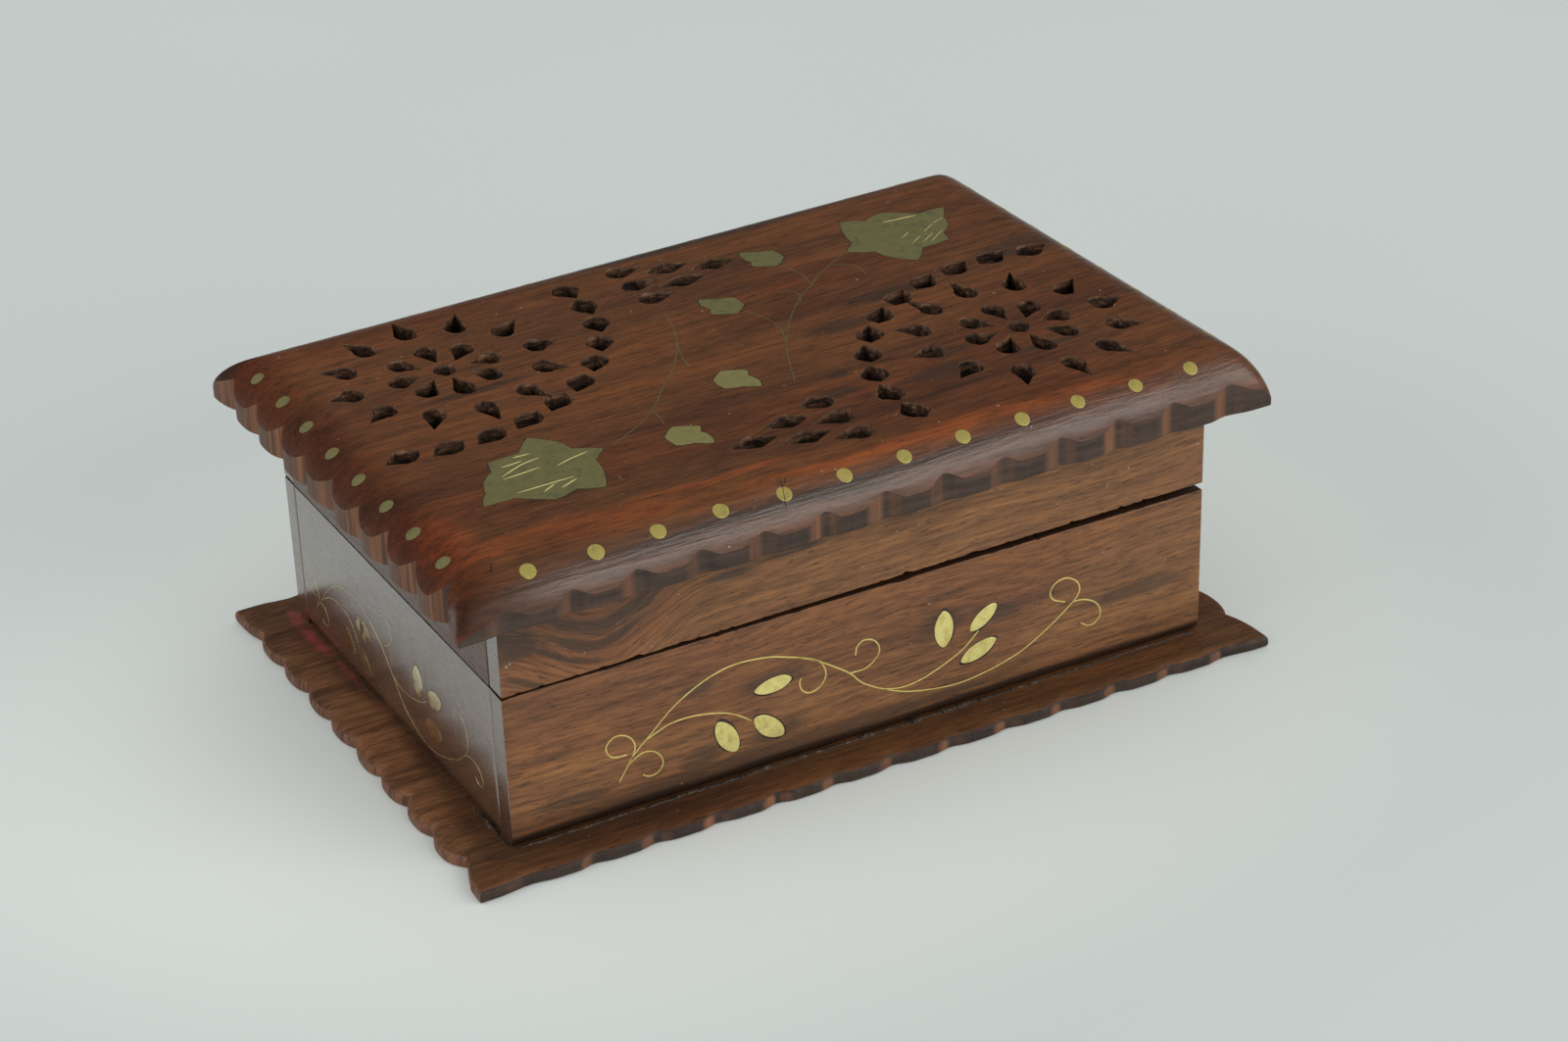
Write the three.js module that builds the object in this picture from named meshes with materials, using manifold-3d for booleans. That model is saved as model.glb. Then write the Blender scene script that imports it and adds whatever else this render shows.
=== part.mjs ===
import * as THREE from 'three';
import * as BufferGeometryUtils from 'three/addons/utils/BufferGeometryUtils.js';
import Module from 'manifold-3d';

const wasm = await Module();
wasm.setup();

// A rosewood keepsake box with a pierced, brass-inlaid lid. Millimetres, +Z up, +X to the right along
// the front, +Y to the back. The origin lies under the middle of the base board.

// Body and base board
const bodyLength = 180;
const bodyDepth = 122.4;
const wallThickness = 6;
const baseThickness = 3.5;
const seamHeight = 41.1;
const footRound = 2.5;
const footRoundSteps = 4;
const baseOverhangEnd = 12.8;
const baseOverhangSide = 10.5;

// Lid frame and lid board. The lid was fitted by hand: its seam opens towards the right end, and the
// board is thicker there.
const rimHeight = 20;
const seamGapLeft = 0.3;
const seamGapRight = 1.7;
const glueLine = 0.1;
const lidOverhangEnd = 12.2;
const lidOverhangSide = 8.5;
const lidThicknessLeft = 12.5;
const lidThicknessRight = 15.1;
const bullnoseReach = 13;
const bullnoseDrop = 9.3;
const cornerThickness = 1;

// Scalloped edges
const scallopDepth = 1.2;
const longSideLobes = 14;
const shortSideLobes = 10;
const lobeSegments = 4;
const lobeRoundness = 2.2;
const cornerRoundness = 1.5;

// Pierced work in the lid: each half has a rosette, a curved row and a triangle of openings. The other
// half is the same work turned end for end.
const rosetteInsetEnd = 42;
const rosetteInsetSide = 41.6;
const rosetteInnerRadius = 11.3;
const rosetteOuterRadius = 23;
const rosetteInnerCount = 8;
const rosetteOuterCount = 12;
const rosetteHoleWidth = 4.3;
const innerPointLength = 4.6;
const outerPointLength = 5.3;
const centreHoleWidth = 4.6;
const rowOffsetX = 11.8;
const rowOffsetY = 17.5;
const rowRadius = 54;
const rowCount = 11;
const rowStartDegrees = 75.5;
const rowEndDegrees = 186;
const rowStartTurnDegrees = 14;
const rowEndTurnDegrees = 96;
const rowHoleWidth = 4.1;
const rowPointLength = 4.8;
const triangleOffsetX = 57.2;
const triangleOffsetY = 16.2;
const triangleColumnCount = 3;
const triangleStepX = 10.8;
const triangleStepY = 8.9;
const triangleHoleWidth = 5;
const trianglePointLength = 6.1;
const holeArcSteps = 3;

// Brass inlay. The vine motif keeps these margins from the ends of its face, and its leaves are set by it.
const inlayThickness = 1.2;
const inlayClearance = 0.25;
const wireWidth = 0.65;
const wireDepth = 0.8;
const wireClearance = 0.12;
const strandSteps = 2;
const frontMotifMargin = 24;
const frontMotifTop = 33;
const frontLeafLength = 9.8;
const endMotifMargin = 10.4;
const endMotifTop = 26.5;
const endLeafLength = 8.8;
const wallLeafSteps = 6;
const leafRoundness = 1.3;
const largeLeafSize = 34.5;
const smallLeafSize = 12;

// Cloth lining
const liningThickness = 0.8;
const liningMargin = 0.3;
const liningBelowSeam = 3;

// Butt hinges on the back
const hingeInset = 35;
const hingeWidth = 22;
const hingeLeafHeight = 8;
const hingeLeafThickness = 0.9;
const knuckleRadius = 1.8;
const knuckleGap = 0.3;
const knuckleFaceGap = 0.3;
const pinRadius = 0.65;
const pinClearance = 0.09;
const pinProud = 0.4;
const hingeSegments = 12;
const screwSpacing = 12;
const screwHeadRadius = 1.5;
const screwCrownRadius = 0.9;
const screwHeadHeight = 1.15;
const screwShankRadius = 0.8;
const screwEndCover = 1.4;
const screwTipLength = 1.2;
const screwClearance = 0.12;
const screwSlotWidth = 0.4;
const screwSlotDepth = 0.35;

// One overrun for every cutting solid
const overrun = 2;

// Sizes worked out from the ones above
const halfLength = bodyLength / 2;
const halfDepth = bodyDepth / 2;
const innerLength = bodyLength - 2 * wallThickness;
const innerDepth = bodyDepth - 2 * wallThickness;
const baseHalfX = halfLength + baseOverhangEnd;
const baseHalfY = halfDepth + baseOverhangSide;
const lidHalfX = halfLength + lidOverhangEnd;
const lidHalfY = halfDepth + lidOverhangSide;
const rosetteX = lidHalfX - rosetteInsetEnd;
const rosetteY = lidHalfY - rosetteInsetSide;
const screwLength = wallThickness - screwEndCover;

// Looks
const lidWood = { color: '#5f2a17', roughness: 0.42, metalness: 0 };
const bodyWood = { color: '#6a3c20', roughness: 0.42, metalness: 0 };
const baseWood = { color: '#4c2a1a', roughness: 0.5, metalness: 0 };
const brass = { color: '#c9a544', roughness: 0.35, metalness: 0.95 };
const tarnishedBrass = { color: '#8d8449', roughness: 0.45, metalness: 0.85 };
const hingeBrass = { color: '#b08f3f', roughness: 0.4, metalness: 0.9 };
const screwBrass = { color: '#9c8140', roughness: 0.45, metalness: 0.9 };
const cloth = { color: '#7a1420', roughness: 0.95, metalness: 0 };

// Solids and geometries
function solidOf(geometry) {
  const bare = geometry.clone();
  bare.deleteAttribute('normal');
  bare.deleteAttribute('uv');
  const merged = BufferGeometryUtils.mergeVertices(bare);
  const vertProperties = new Float32Array(merged.attributes.position.array);
  const triVerts = new Uint32Array(merged.index.array);
  return new wasm.Manifold(new wasm.Mesh({ numProp: 3, vertProperties, triVerts }));
}

function geometryOf(solid) {
  const mesh = solid.getMesh();
  const geometry = new THREE.BufferGeometry();
  geometry.setAttribute('position', new THREE.BufferAttribute(new Float32Array(mesh.vertProperties), 3));
  geometry.setIndex(new THREE.BufferAttribute(new Uint32Array(mesh.triVerts), 1));
  return geometry;
}

function cutAll(geometry, cutters) {
  let solid = solidOf(geometry);
  for (const cutter of cutters) solid = solid.subtract(solidOf(cutter));
  return geometryOf(solid);
}

function joinAll(geometries) {
  const [first, ...others] = geometries.map(solidOf);
  return geometryOf(others.reduce((solid, other) => solid.add(other), first));
}

function piece(name, geometry, look) {
  const mesh = new THREE.Mesh(geometry, new THREE.MeshStandardMaterial(look));
  mesh.name = name;
  return mesh;
}

function block(width, depth, height) {
  return new THREE.BoxGeometry(width, depth, height);
}

function blockBetween(low, high) {
  const geometry = block(high[0] - low[0], high[1] - low[1], high[2] - low[2]);
  return geometry.translate((low[0] + high[0]) / 2, (low[1] + high[1]) / 2, (low[2] + high[2]) / 2);
}

function rodAlongX(radius, length) {
  return new THREE.CylinderGeometry(radius, radius, length, hingeSegments).rotateZ(Math.PI / 2);
}

function prism(points, depth) {
  return new THREE.ExtrudeGeometry(new THREE.Shape(points), { depth, bevelEnabled: false });
}

// The same outline, larger by one distance on every side
function grown(points, distance) {
  const side = Math.sign(THREE.ShapeUtils.area(points));
  return points.map((point, i) => {
    const before = points[(i + points.length - 1) % points.length];
    const after = points[(i + 1) % points.length];
    const inward = point.clone().sub(before).normalize();
    const onward = after.clone().sub(point).normalize();
    const mitre = new THREE.Vector2(inward.y + onward.y, -inward.x - onward.x);
    return point.clone().addScaledVector(mitre, (side * distance) / (1 + inward.dot(onward)));
  });
}

// A vine's wires: a main strand, and branches that start at a share of its length. Points are shares of
// the width and height that the vine is drawn in.
function vineStrands(vine, width, height) {
  const place = ([across, up]) => new THREE.Vector2(across * width, up * height);
  const main = new THREE.SplineCurve(vine.main.map(place));
  const branches = vine.branches.map(({ from, points }) => (
    new THREE.SplineCurve([main.getPoint(from), ...points.map(place)])
  ));
  return [main, ...branches].map((curve) => curve.getPoints(strandSteps * (curve.points.length - 1)));
}

function wire(centreLine, grow, height) {
  const left = [];
  const right = [];
  centreLine.forEach((point, i) => {
    const before = centreLine[Math.max(i - 1, 0)];
    const after = centreLine[Math.min(i + 1, centreLine.length - 1)];
    const ahead = after.clone().sub(before).setLength(wireWidth / 2);
    left.push(new THREE.Vector2(point.x - ahead.y, point.y + ahead.x));
    right.push(new THREE.Vector2(point.x + ahead.y, point.y - ahead.x));
  });
  return prism(grown([...left, ...right.reverse()], grow), height);
}

// The lid's slope: how far its parts stand above a level lid at x
function alongLength(x, left, right) {
  return left + (right - left) * (x / bodyLength + 1 / 2);
}

function seamGap(x) {
  return alongLength(x, seamGapLeft, seamGapRight);
}

function lidUnderside(x) {
  return seamHeight + rimHeight + glueLine + seamGap(x);
}

function lidTop(x) {
  return lidUnderside(x) + alongLength(x, lidThicknessLeft, lidThicknessRight);
}

function raisedBy(geometry, heightAt) {
  const position = geometry.attributes.position;
  for (let i = 0; i < position.count; i += 1) {
    position.setZ(i, position.getZ(i) + heightAt(position.getX(i)));
  }
  return geometry;
}

// Scalloped outline: points along one side from -half to +half, each with its distance inwards
function scallopedSide(half, lobes, endLobeShare) {
  const pitch = (2 * half) / (lobes - 2 + 2 * endLobeShare);
  const points = [];
  for (let lobe = 0; lobe < lobes; lobe += 1) {
    const start = lobe === 0 ? -half : (lobe - lobes / 2) * pitch;
    const end = lobe === lobes - 1 ? half : (lobe + 1 - lobes / 2) * pitch;
    for (let step = 0; step < lobeSegments; step += 1) {
      const share = step / lobeSegments;
      points.push({ along: start + (end - start) * share, inset: lobeInset(share, lobe, lobes) });
    }
  }
  return points;
}

function lobeInset(share, lobe, lobes) {
  if (lobe === 0) return scallopDepth * share ** cornerRoundness;
  if (lobe === lobes - 1) return scallopDepth * (1 - share) ** cornerRoundness;
  return scallopDepth * Math.abs(2 * share - 1) ** lobeRoundness;
}

// The four sides joined anticlockwise: a point on the plain rectangle, and the way inwards from it
function scallopedEdge(halfX, halfY, longEndShare, shortEndShare) {
  const long = scallopedSide(halfX, longSideLobes, longEndShare);
  const short = scallopedSide(halfY, shortSideLobes, shortEndShare);
  const front = long.map((p) => ({ x: p.along, y: -halfY, inX: 0, inY: p.inset }));
  const right = short.map((p) => ({ x: halfX, y: p.along, inX: -p.inset, inY: 0 }));
  const back = long.map((p) => ({ x: -p.along, y: halfY, inX: 0, inY: -p.inset }));
  const left = short.map((p) => ({ x: -halfX, y: -p.along, inX: p.inset, inY: 0 }));
  return [...front, ...right, ...back, ...left];
}

// Base board
const baseEndLobeShares = { long: 0.83, short: 0.95 };

function baseBoard() {
  const edge = scallopedEdge(baseHalfX, baseHalfY, baseEndLobeShares.long, baseEndLobeShares.short);
  const outline = edge.map((p) => new THREE.Vector2(p.x + p.inX, p.y + p.inY));
  return piece('base_board', prism(outline, baseThickness), baseWood);
}

// Body walls. Each is drawn in section with its outer foot rounded, then run along its length.
function wallSection() {
  const shape = new THREE.Shape();
  shape.moveTo(wallThickness, baseThickness);
  shape.lineTo(wallThickness, seamHeight);
  shape.lineTo(0, seamHeight);
  shape.lineTo(0, baseThickness + footRound);
  shape.absarc(footRound, baseThickness + footRound, footRound, Math.PI, 1.5 * Math.PI, false);
  return shape;
}

// A frame on an outside face: local x runs to the viewer's right, local y runs up, local z comes outwards
function faceFrame(rightward, distance) {
  const up = new THREE.Vector3(0, 0, 1);
  const outward = new THREE.Vector3().crossVectors(rightward, up);
  const frame = new THREE.Matrix4().makeBasis(rightward, up, outward);
  return frame.setPosition(outward.clone().multiplyScalar(distance));
}

const along = {
  front: new THREE.Vector3(1, 0, 0),
  back: new THREE.Vector3(-1, 0, 0),
  left: new THREE.Vector3(0, -1, 0),
  right: new THREE.Vector3(0, 1, 0),
};
const frontMotif = { half: halfLength - frontMotifMargin, top: frontMotifTop, leaf: frontLeafLength };
const endMotif = { half: halfDepth - endMotifMargin, top: endMotifTop, leaf: endLeafLength };
const faces = {
  front: { frame: faceFrame(along.front, halfDepth), wallLength: bodyLength, motif: frontMotif },
  back: { frame: faceFrame(along.back, halfDepth), wallLength: bodyLength },
  left: { frame: faceFrame(along.left, halfLength), wallLength: innerDepth, motif: endMotif },
  right: { frame: faceFrame(along.right, halfLength), wallLength: innerDepth, motif: endMotif },
};

function wallGeometry(face) {
  const geometry = new THREE.ExtrudeGeometry(wallSection(), {
    depth: face.wallLength, bevelEnabled: false, curveSegments: footRoundSteps,
  });
  geometry.translate(0, 0, -face.wallLength / 2);
  const sectionToFace = new THREE.Matrix4().makeBasis(
    new THREE.Vector3(0, 0, -1), new THREE.Vector3(0, 1, 0), new THREE.Vector3(1, 0, 0),
  );
  return geometry.applyMatrix4(sectionToFace).applyMatrix4(face.frame);
}

// Pointed oval leaves on the front and the two ends: places as shares of the motif's half length and
// height, lengths and widths as shares of one leaf length, turns in degrees
const wallLeafShares = [
  { across: -0.56, up: 0.45, turn: -62, length: 1.01, width: 0.49 },
  { across: -0.4, up: 0.43, turn: -41, length: 0.99, width: 0.47 },
  { across: -0.38, up: 0.74, turn: 4, length: 0.97, width: 0.39 },
  { across: 0.29, up: 0.76, turn: 90, length: 0.97, width: 0.51 },
  { across: 0.45, up: 0.76, turn: 37, length: 0.89, width: 0.38 },
  { across: 0.43, up: 0.51, turn: 20, length: 1.03, width: 0.41 },
];

function pointedOval(length, width) {
  const upper = [];
  for (let i = 0; i < wallLeafSteps; i += 1) {
    const angle = (i / wallLeafSteps) * Math.PI;
    upper.push([(Math.cos(angle) * length) / 2, (Math.sin(angle) ** leafRoundness * width) / 2]);
  }
  const lower = upper.map(([x, y]) => [-x, -y]);
  return [...upper, ...lower].map(([x, y]) => new THREE.Vector2(x, y));
}

function wallLeafSolid(face, share, grow, height) {
  const outline = pointedOval(share.length * face.motif.leaf, share.width * face.motif.leaf);
  const geometry = prism(grown(outline, grow), height).rotateZ(THREE.MathUtils.degToRad(share.turn));
  geometry.translate(share.across * face.motif.half, share.up * face.motif.top, -inlayThickness);
  return geometry.applyMatrix4(face.frame);
}

// The vine's points are shares of the motif's half length and height
const wallVineShares = {
  main: [
    [-0.966, 0.371], [-0.87, 0.61], [-0.62, 0.95], [-0.3, 0.91], [-0.04, 0.56], [0.15, 0.356],
    [0.38, 0.29], [0.61, 0.386], [0.8, 0.59], [0.84, 0.77], [0.77, 0.882], [0.723, 0.776], [0.78, 0.689],
  ],
  branches: [
    { from: 0.048, points: [[-0.845, 0.53], [-0.8, 0.436], [-0.842, 0.336], [-0.877, 0.367]] },
    { from: 0.07, points: [[-0.909, 0.682], [-0.97, 0.72], [-1.01, 0.652], [-0.985, 0.565], [-0.93, 0.56]] },
    { from: 0.092, points: [[-0.72, 0.697], [-0.568, 0.644], [-0.482, 0.564]] },
    { from: 0.278, points: [[-0.18, 0.7], [-0.227, 0.594], [-0.277, 0.67], [-0.267, 0.727]] },
    { from: 0.319, points: [[0.009, 0.689], [0.032, 0.765], [-0.019, 0.879], [-0.061, 0.776]] },
    { from: 0.377, points: [[0.208, 0.442], [0.36, 0.579], [0.388, 0.618]] },
    { from: 0.7, points: [[0.9, 0.64], [0.936, 0.523], [0.875, 0.436], [0.847, 0.473]] },
  ],
};

function wallWires(face, grow, height) {
  return vineStrands(wallVineShares, face.motif.half, face.motif.top).map((strand) => (
    wire(strand, grow, height).translate(0, 0, -wireDepth).applyMatrix4(face.frame)
  ));
}

function inlaidWall(side) {
  const face = faces[side];
  const pockets = wallLeafShares.map((share) => (
    wallLeafSolid(face, share, inlayClearance, inlayThickness + overrun)
  ));
  const grooves = wallWires(face, wireClearance, wireDepth + overrun);
  const group = new THREE.Group();
  group.add(piece(`${side}_wall`, cutAll(wallGeometry(face), [...pockets, ...grooves]), bodyWood));
  group.add(piece(`${side}_vine`, joinAll(wallWires(face, 0, wireDepth)), brass));
  wallLeafShares.forEach((share, i) => {
    group.add(piece(`${side}_leaf_${i + 1}`, wallLeafSolid(face, share, 0, inlayThickness), brass));
  });
  return group;
}

// Cloth lining on the floor and the four walls
function linings() {
  const group = new THREE.Group();
  const floorTop = baseThickness + liningThickness;
  const top = seamHeight - liningBelowSeam;
  const x = innerLength / 2;
  const y = innerDepth / 2;
  const endY = y - liningThickness - liningMargin;
  const low = floorTop + liningMargin;
  const floor = blockBetween([-x + liningMargin, -y + liningMargin, baseThickness],
    [x - liningMargin, y - liningMargin, floorTop]);
  const front = blockBetween([-x + liningMargin, -y, low], [x - liningMargin, -y + liningThickness, top]);
  const back = blockBetween([-x + liningMargin, y - liningThickness, low], [x - liningMargin, y, top]);
  const left = blockBetween([-x, -endY, low], [-x + liningThickness, endY, top]);
  const right = blockBetween([x - liningThickness, -endY, low], [x, endY, top]);
  group.add(piece('floor_lining', floor, cloth));
  group.add(piece('front_lining', front, cloth));
  group.add(piece('back_lining', back, cloth));
  group.add(piece('left_lining', left, cloth));
  group.add(piece('right_lining', right, cloth));
  return group;
}

// Lid frame: four boards that follow the walls below them and slope with the seam
function rimGeometry(low, high) {
  const rim = blockBetween([...low, seamHeight], [...high, seamHeight + rimHeight]);
  return raisedBy(rim, seamGap);
}

function lidRims() {
  const group = new THREE.Group();
  const inX = innerLength / 2;
  const inY = innerDepth / 2;
  const front = rimGeometry([-halfLength, -halfDepth], [halfLength, -inY]);
  const back = rimGeometry([-halfLength, inY], [halfLength, halfDepth]);
  const left = rimGeometry([-halfLength, -inY], [-inX, inY]);
  const right = rimGeometry([inX, -inY], [halfLength, inY]);
  group.add(piece('lid_front_rim', front, bodyWood));
  group.add(piece('lid_back_rim', cutAll(back, screwHoles(1)), bodyWood));
  group.add(piece('lid_left_rim', left, bodyWood));
  group.add(piece('lid_right_rim', right, bodyWood));
  return group;
}

// Lid board. The top falls away to the edges on an arc that is level where it leaves the flat.
const bullnoseAngle = 2 * Math.atan(bullnoseDrop / bullnoseReach);
const bullnoseRadius = bullnoseReach / Math.sin(bullnoseAngle);
const bullnoseRingShares = [0, 0.12, 0.3, 0.52, 0.76, 1];
const lidEndLobeShares = { long: 0.775, short: 0.665 };

function edgeDrop(distance) {
  const reach = Math.max(bullnoseReach - distance, 0);
  return bullnoseRadius - Math.sqrt(bullnoseRadius ** 2 - reach ** 2);
}

function lidSurface(x, y) {
  const drop = Math.hypot(edgeDrop(lidHalfX - Math.abs(x)), edgeDrop(lidHalfY - Math.abs(y)));
  return Math.max(lidTop(x) - drop, lidUnderside(x) + cornerThickness);
}

function lidRing(edge, distance) {
  const fade = 1 - distance / bullnoseReach;
  return edge.map((p) => {
    const x = p.x * (1 - distance / lidHalfX) + p.inX * fade;
    const y = p.y * (1 - distance / lidHalfY) + p.inY * fade;
    return [x, y, lidSurface(x, y)];
  });
}

function lidBlank() {
  const edge = scallopedEdge(lidHalfX, lidHalfY, lidEndLobeShares.long, lidEndLobeShares.short);
  const foot = lidRing(edge, 0).map(([x, y]) => [x, y, lidUnderside(x)]);
  const rings = [foot, ...bullnoseRingShares.map((share) => lidRing(edge, share * bullnoseReach))];
  const vertices = [...rings.flat(), [0, 0, lidUnderside(0)], [0, 0, lidTop(0)]];
  const count = edge.length;
  const lowHub = rings.length * count;
  const faceList = [];
  for (let i = 0; i < count; i += 1) {
    const next = (i + 1) % count;
    for (let ring = 0; ring < rings.length - 1; ring += 1) {
      const low = ring * count;
      const high = low + count;
      faceList.push(low + i, low + next, high + next, low + i, high + next, high + i);
    }
    const last = (rings.length - 1) * count;
    faceList.push(lowHub, next, i, lowHub + 1, last + i, last + next);
  }
  const geometry = new THREE.BufferGeometry();
  geometry.setAttribute('position', new THREE.BufferAttribute(new Float32Array(vertices.flat()), 3));
  geometry.setIndex(faceList);
  return geometry;
}

// Openings: a drilled round, drawn out to a point at one end or at both
function pointedHole(width, tip, tail) {
  const radius = width / 2;
  const first = tip > radius ? Math.acos(radius / tip) : 0;
  const last = tail > radius ? Math.PI - Math.acos(radius / tail) : Math.PI;
  const upper = [];
  if (tip > radius) upper.push([tip, 0]);
  for (let i = 0; i <= holeArcSteps; i += 1) {
    const angle = first + ((last - first) * i) / holeArcSteps;
    upper.push([radius * Math.cos(angle), radius * Math.sin(angle)]);
  }
  if (tail > radius) upper.push([-tail, 0]);
  const lower = upper.slice(1, -1).reverse().map(([x, y]) => [x, -y]);
  return [...upper, ...lower].map(([x, y]) => new THREE.Vector2(x, y));
}

function holeCutter(x, y, degrees, width, tip, tail) {
  const floor = seamHeight + rimHeight - overrun;
  const height = lidTop(lidHalfX) - floor + overrun;
  const geometry = prism(pointedHole(width, tip, tail), height);
  geometry.rotateZ(THREE.MathUtils.degToRad(degrees));
  return geometry.translate(x, y, floor);
}

function onCircle(centreX, centreY, radius, degrees) {
  const angle = THREE.MathUtils.degToRad(degrees);
  return [centreX + radius * Math.cos(angle), centreY + radius * Math.sin(angle)];
}

function rosetteHoles() {
  const round = centreHoleWidth / 2;
  const holes = [holeCutter(rosetteX, -rosetteY, 0, centreHoleWidth, round, round)];
  for (let i = 0; i < rosetteInnerCount; i += 1) {
    const degrees = (360 / rosetteInnerCount) * i;
    const [x, y] = onCircle(rosetteX, -rosetteY, rosetteInnerRadius, degrees);
    holes.push(holeCutter(x, y, degrees + 180, rosetteHoleWidth, innerPointLength, 0));
  }
  for (let i = 0; i < rosetteOuterCount; i += 1) {
    const degrees = (360 / rosetteOuterCount) * i;
    const [x, y] = onCircle(rosetteX, -rosetteY, rosetteOuterRadius, degrees);
    holes.push(holeCutter(x, y, degrees, rosetteHoleWidth, outerPointLength, 0));
  }
  return holes;
}

function rowHoles() {
  const holes = [];
  for (let i = 0; i < rowCount; i += 1) {
    const share = i / (rowCount - 1);
    const degrees = rowStartDegrees + (rowEndDegrees - rowStartDegrees) * share;
    const turn = rowStartTurnDegrees + (rowEndTurnDegrees - rowStartTurnDegrees) * share;
    const [x, y] = onCircle(rosetteX + rowOffsetX, -rosetteY - rowOffsetY, rowRadius, degrees);
    holes.push(holeCutter(x, y, turn, rowHoleWidth, rowPointLength, rowPointLength));
  }
  return holes;
}

// Columns of three, two and one; the first column's openings are round at the back
function triangleHoles() {
  const holes = [];
  for (let column = 0; column < triangleColumnCount; column += 1) {
    const rows = triangleColumnCount - column;
    for (let row = 0; row < rows; row += 1) {
      const x = rosetteX - triangleOffsetX - column * triangleStepX;
      const y = -rosetteY - triangleOffsetY + (row - (rows - 1) / 2) * triangleStepY;
      const tail = column === 0 ? 0 : trianglePointLength;
      holes.push(holeCutter(x, y, 180, triangleHoleWidth, trianglePointLength, tail));
    }
  }
  return holes;
}

function piercedWork() {
  const half = [...rosetteHoles(), ...rowHoles(), ...triangleHoles()];
  return [...half, ...half.map((cutter) => cutter.clone().rotateZ(Math.PI))];
}

// Lid leaves. Outlines are shares of the leaf's size, places are shares of the lid's half sizes. The
// leaves at the front left are turned end for end from those at the back right.
const lobedLeafShares = [
  [-0.17, -0.54], [-0.31, -0.37], [-0.34, -0.24], [-0.51, -0.13], [-0.4, -0.02], [-0.37, 0.16],
  [-0.29, 0.35], [-0.13, 0.27], [0.04, 0.32], [0.25, 0.16], [0.46, 0.15], [0.37, 0], [0.32, -0.14],
  [0.22, -0.24], [0.19, -0.36], [-0.03, -0.37],
];
const ivyLeafShares = [
  [-0.28, 0.5], [0.02, 0.32], [0.35, 0.21], [0.38, -0.2], [0.07, -0.5], [-0.37, -0.25], [-0.28, -0.03],
  [-0.35, 0.24],
];
const lidLeafShares = [
  { name: 'lid_leaf_large_1', across: -0.636, up: -0.466, size: largeLeafSize, outline: lobedLeafShares },
  { name: 'lid_leaf_large_2', across: 0.649, up: 0.514, size: largeLeafSize, outline: lobedLeafShares },
  { name: 'lid_leaf_small_1', across: -0.287, up: -0.481, size: smallLeafSize, outline: ivyLeafShares },
  { name: 'lid_leaf_small_2', across: -0.071, up: -0.215, size: smallLeafSize, outline: ivyLeafShares },
  { name: 'lid_leaf_small_3', across: 0.089, up: 0.314, size: smallLeafSize, outline: ivyLeafShares },
  { name: 'lid_leaf_small_4', across: 0.295, up: 0.577, size: smallLeafSize, outline: ivyLeafShares },
];

function lidLeafSolid(leaf, grow, low, high) {
  const size = Math.sign(leaf.across) * leaf.size;
  const outline = leaf.outline.map(([x, y]) => new THREE.Vector2(x * size, y * size));
  const geometry = prism(grown(outline, grow), high - low);
  geometry.translate(leaf.across * lidHalfX, leaf.up * lidHalfY, low);
  return raisedBy(geometry, lidTop);
}

// Two vines, each from the middle of the lid to a large leaf, with a stem to a small one
const lidVineShares = {
  lid_vine_1: {
    main: [
      [-0.04, 0.376], [-0.077, 0.187], [-0.146, 0.007], [-0.224, -0.131], [-0.297, -0.258],
      [-0.371, -0.34], [-0.44, -0.4],
    ],
    branches: [{ from: 0.67, points: [[-0.303, -0.366]] }],
  },
  lid_vine_2: {
    main: [
      [0.032, -0.34], [0.096, -0.118], [0.172, 0.065], [0.257, 0.215], [0.318, 0.287], [0.364, 0.349],
      [0.458, 0.44],
    ],
    branches: [{ from: 0.66, points: [[0.325, 0.37], [0.315, 0.466]] }],
  },
};

function lidWires(vine, grow, low, high) {
  return vineStrands(vine, lidHalfX, lidHalfY).map((strand) => (
    raisedBy(wire(strand, grow, high - low).translate(0, 0, low), lidTop)
  ));
}

function lidBoard() {
  const group = new THREE.Group();
  const vines = Object.entries(lidVineShares);
  const pockets = lidLeafShares.map((leaf) => (
    lidLeafSolid(leaf, inlayClearance, -inlayThickness - glueLine, overrun)
  ));
  const grooves = vines.flatMap(([, vine]) => lidWires(vine, wireClearance, -wireDepth - glueLine, overrun));
  const cutters = [...piercedWork(), ...pockets, ...grooves];
  group.add(piece('lid_board', cutAll(lidBlank(), cutters), lidWood));
  for (const leaf of lidLeafShares) {
    group.add(piece(leaf.name, lidLeafSolid(leaf, 0, -inlayThickness, 0), tarnishedBrass));
  }
  for (const [name, vine] of vines) {
    group.add(piece(name, joinAll(lidWires(vine, 0, -wireDepth, 0)), tarnishedBrass));
  }
  return group;
}

// Hinges: the pin's axis lies behind the back face, level with the middle of the seam
const hingeAxisY = halfDepth + knuckleRadius + knuckleFaceGap;
const hingeAxisZ = seamHeight + seamGap(0);
const hingeLeafStart = knuckleRadius + knuckleGap;
const knuckleWidth = (hingeWidth - 2 * knuckleGap) / 3;
const screwRise = hingeLeafStart + hingeLeafHeight / 2;

function hingeCentres() {
  return [-halfLength + hingeInset, halfLength - hingeInset];
}

// The upper leaf has direction 1 and the middle knuckle; the lower leaf has direction -1 and the outer two
function knucklePlaces(direction) {
  const offset = knuckleWidth + knuckleGap;
  return direction > 0 ? [0] : [-offset, offset];
}

function leafPlate(halfWidth, x, from, to) {
  const inner = -knuckleRadius - knuckleFaceGap;
  const low = [x - halfWidth, inner, Math.min(from, to)];
  const high = [x + halfWidth, inner + hingeLeafThickness, Math.max(from, to)];
  return solidOf(blockBetween(low, high));
}

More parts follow.
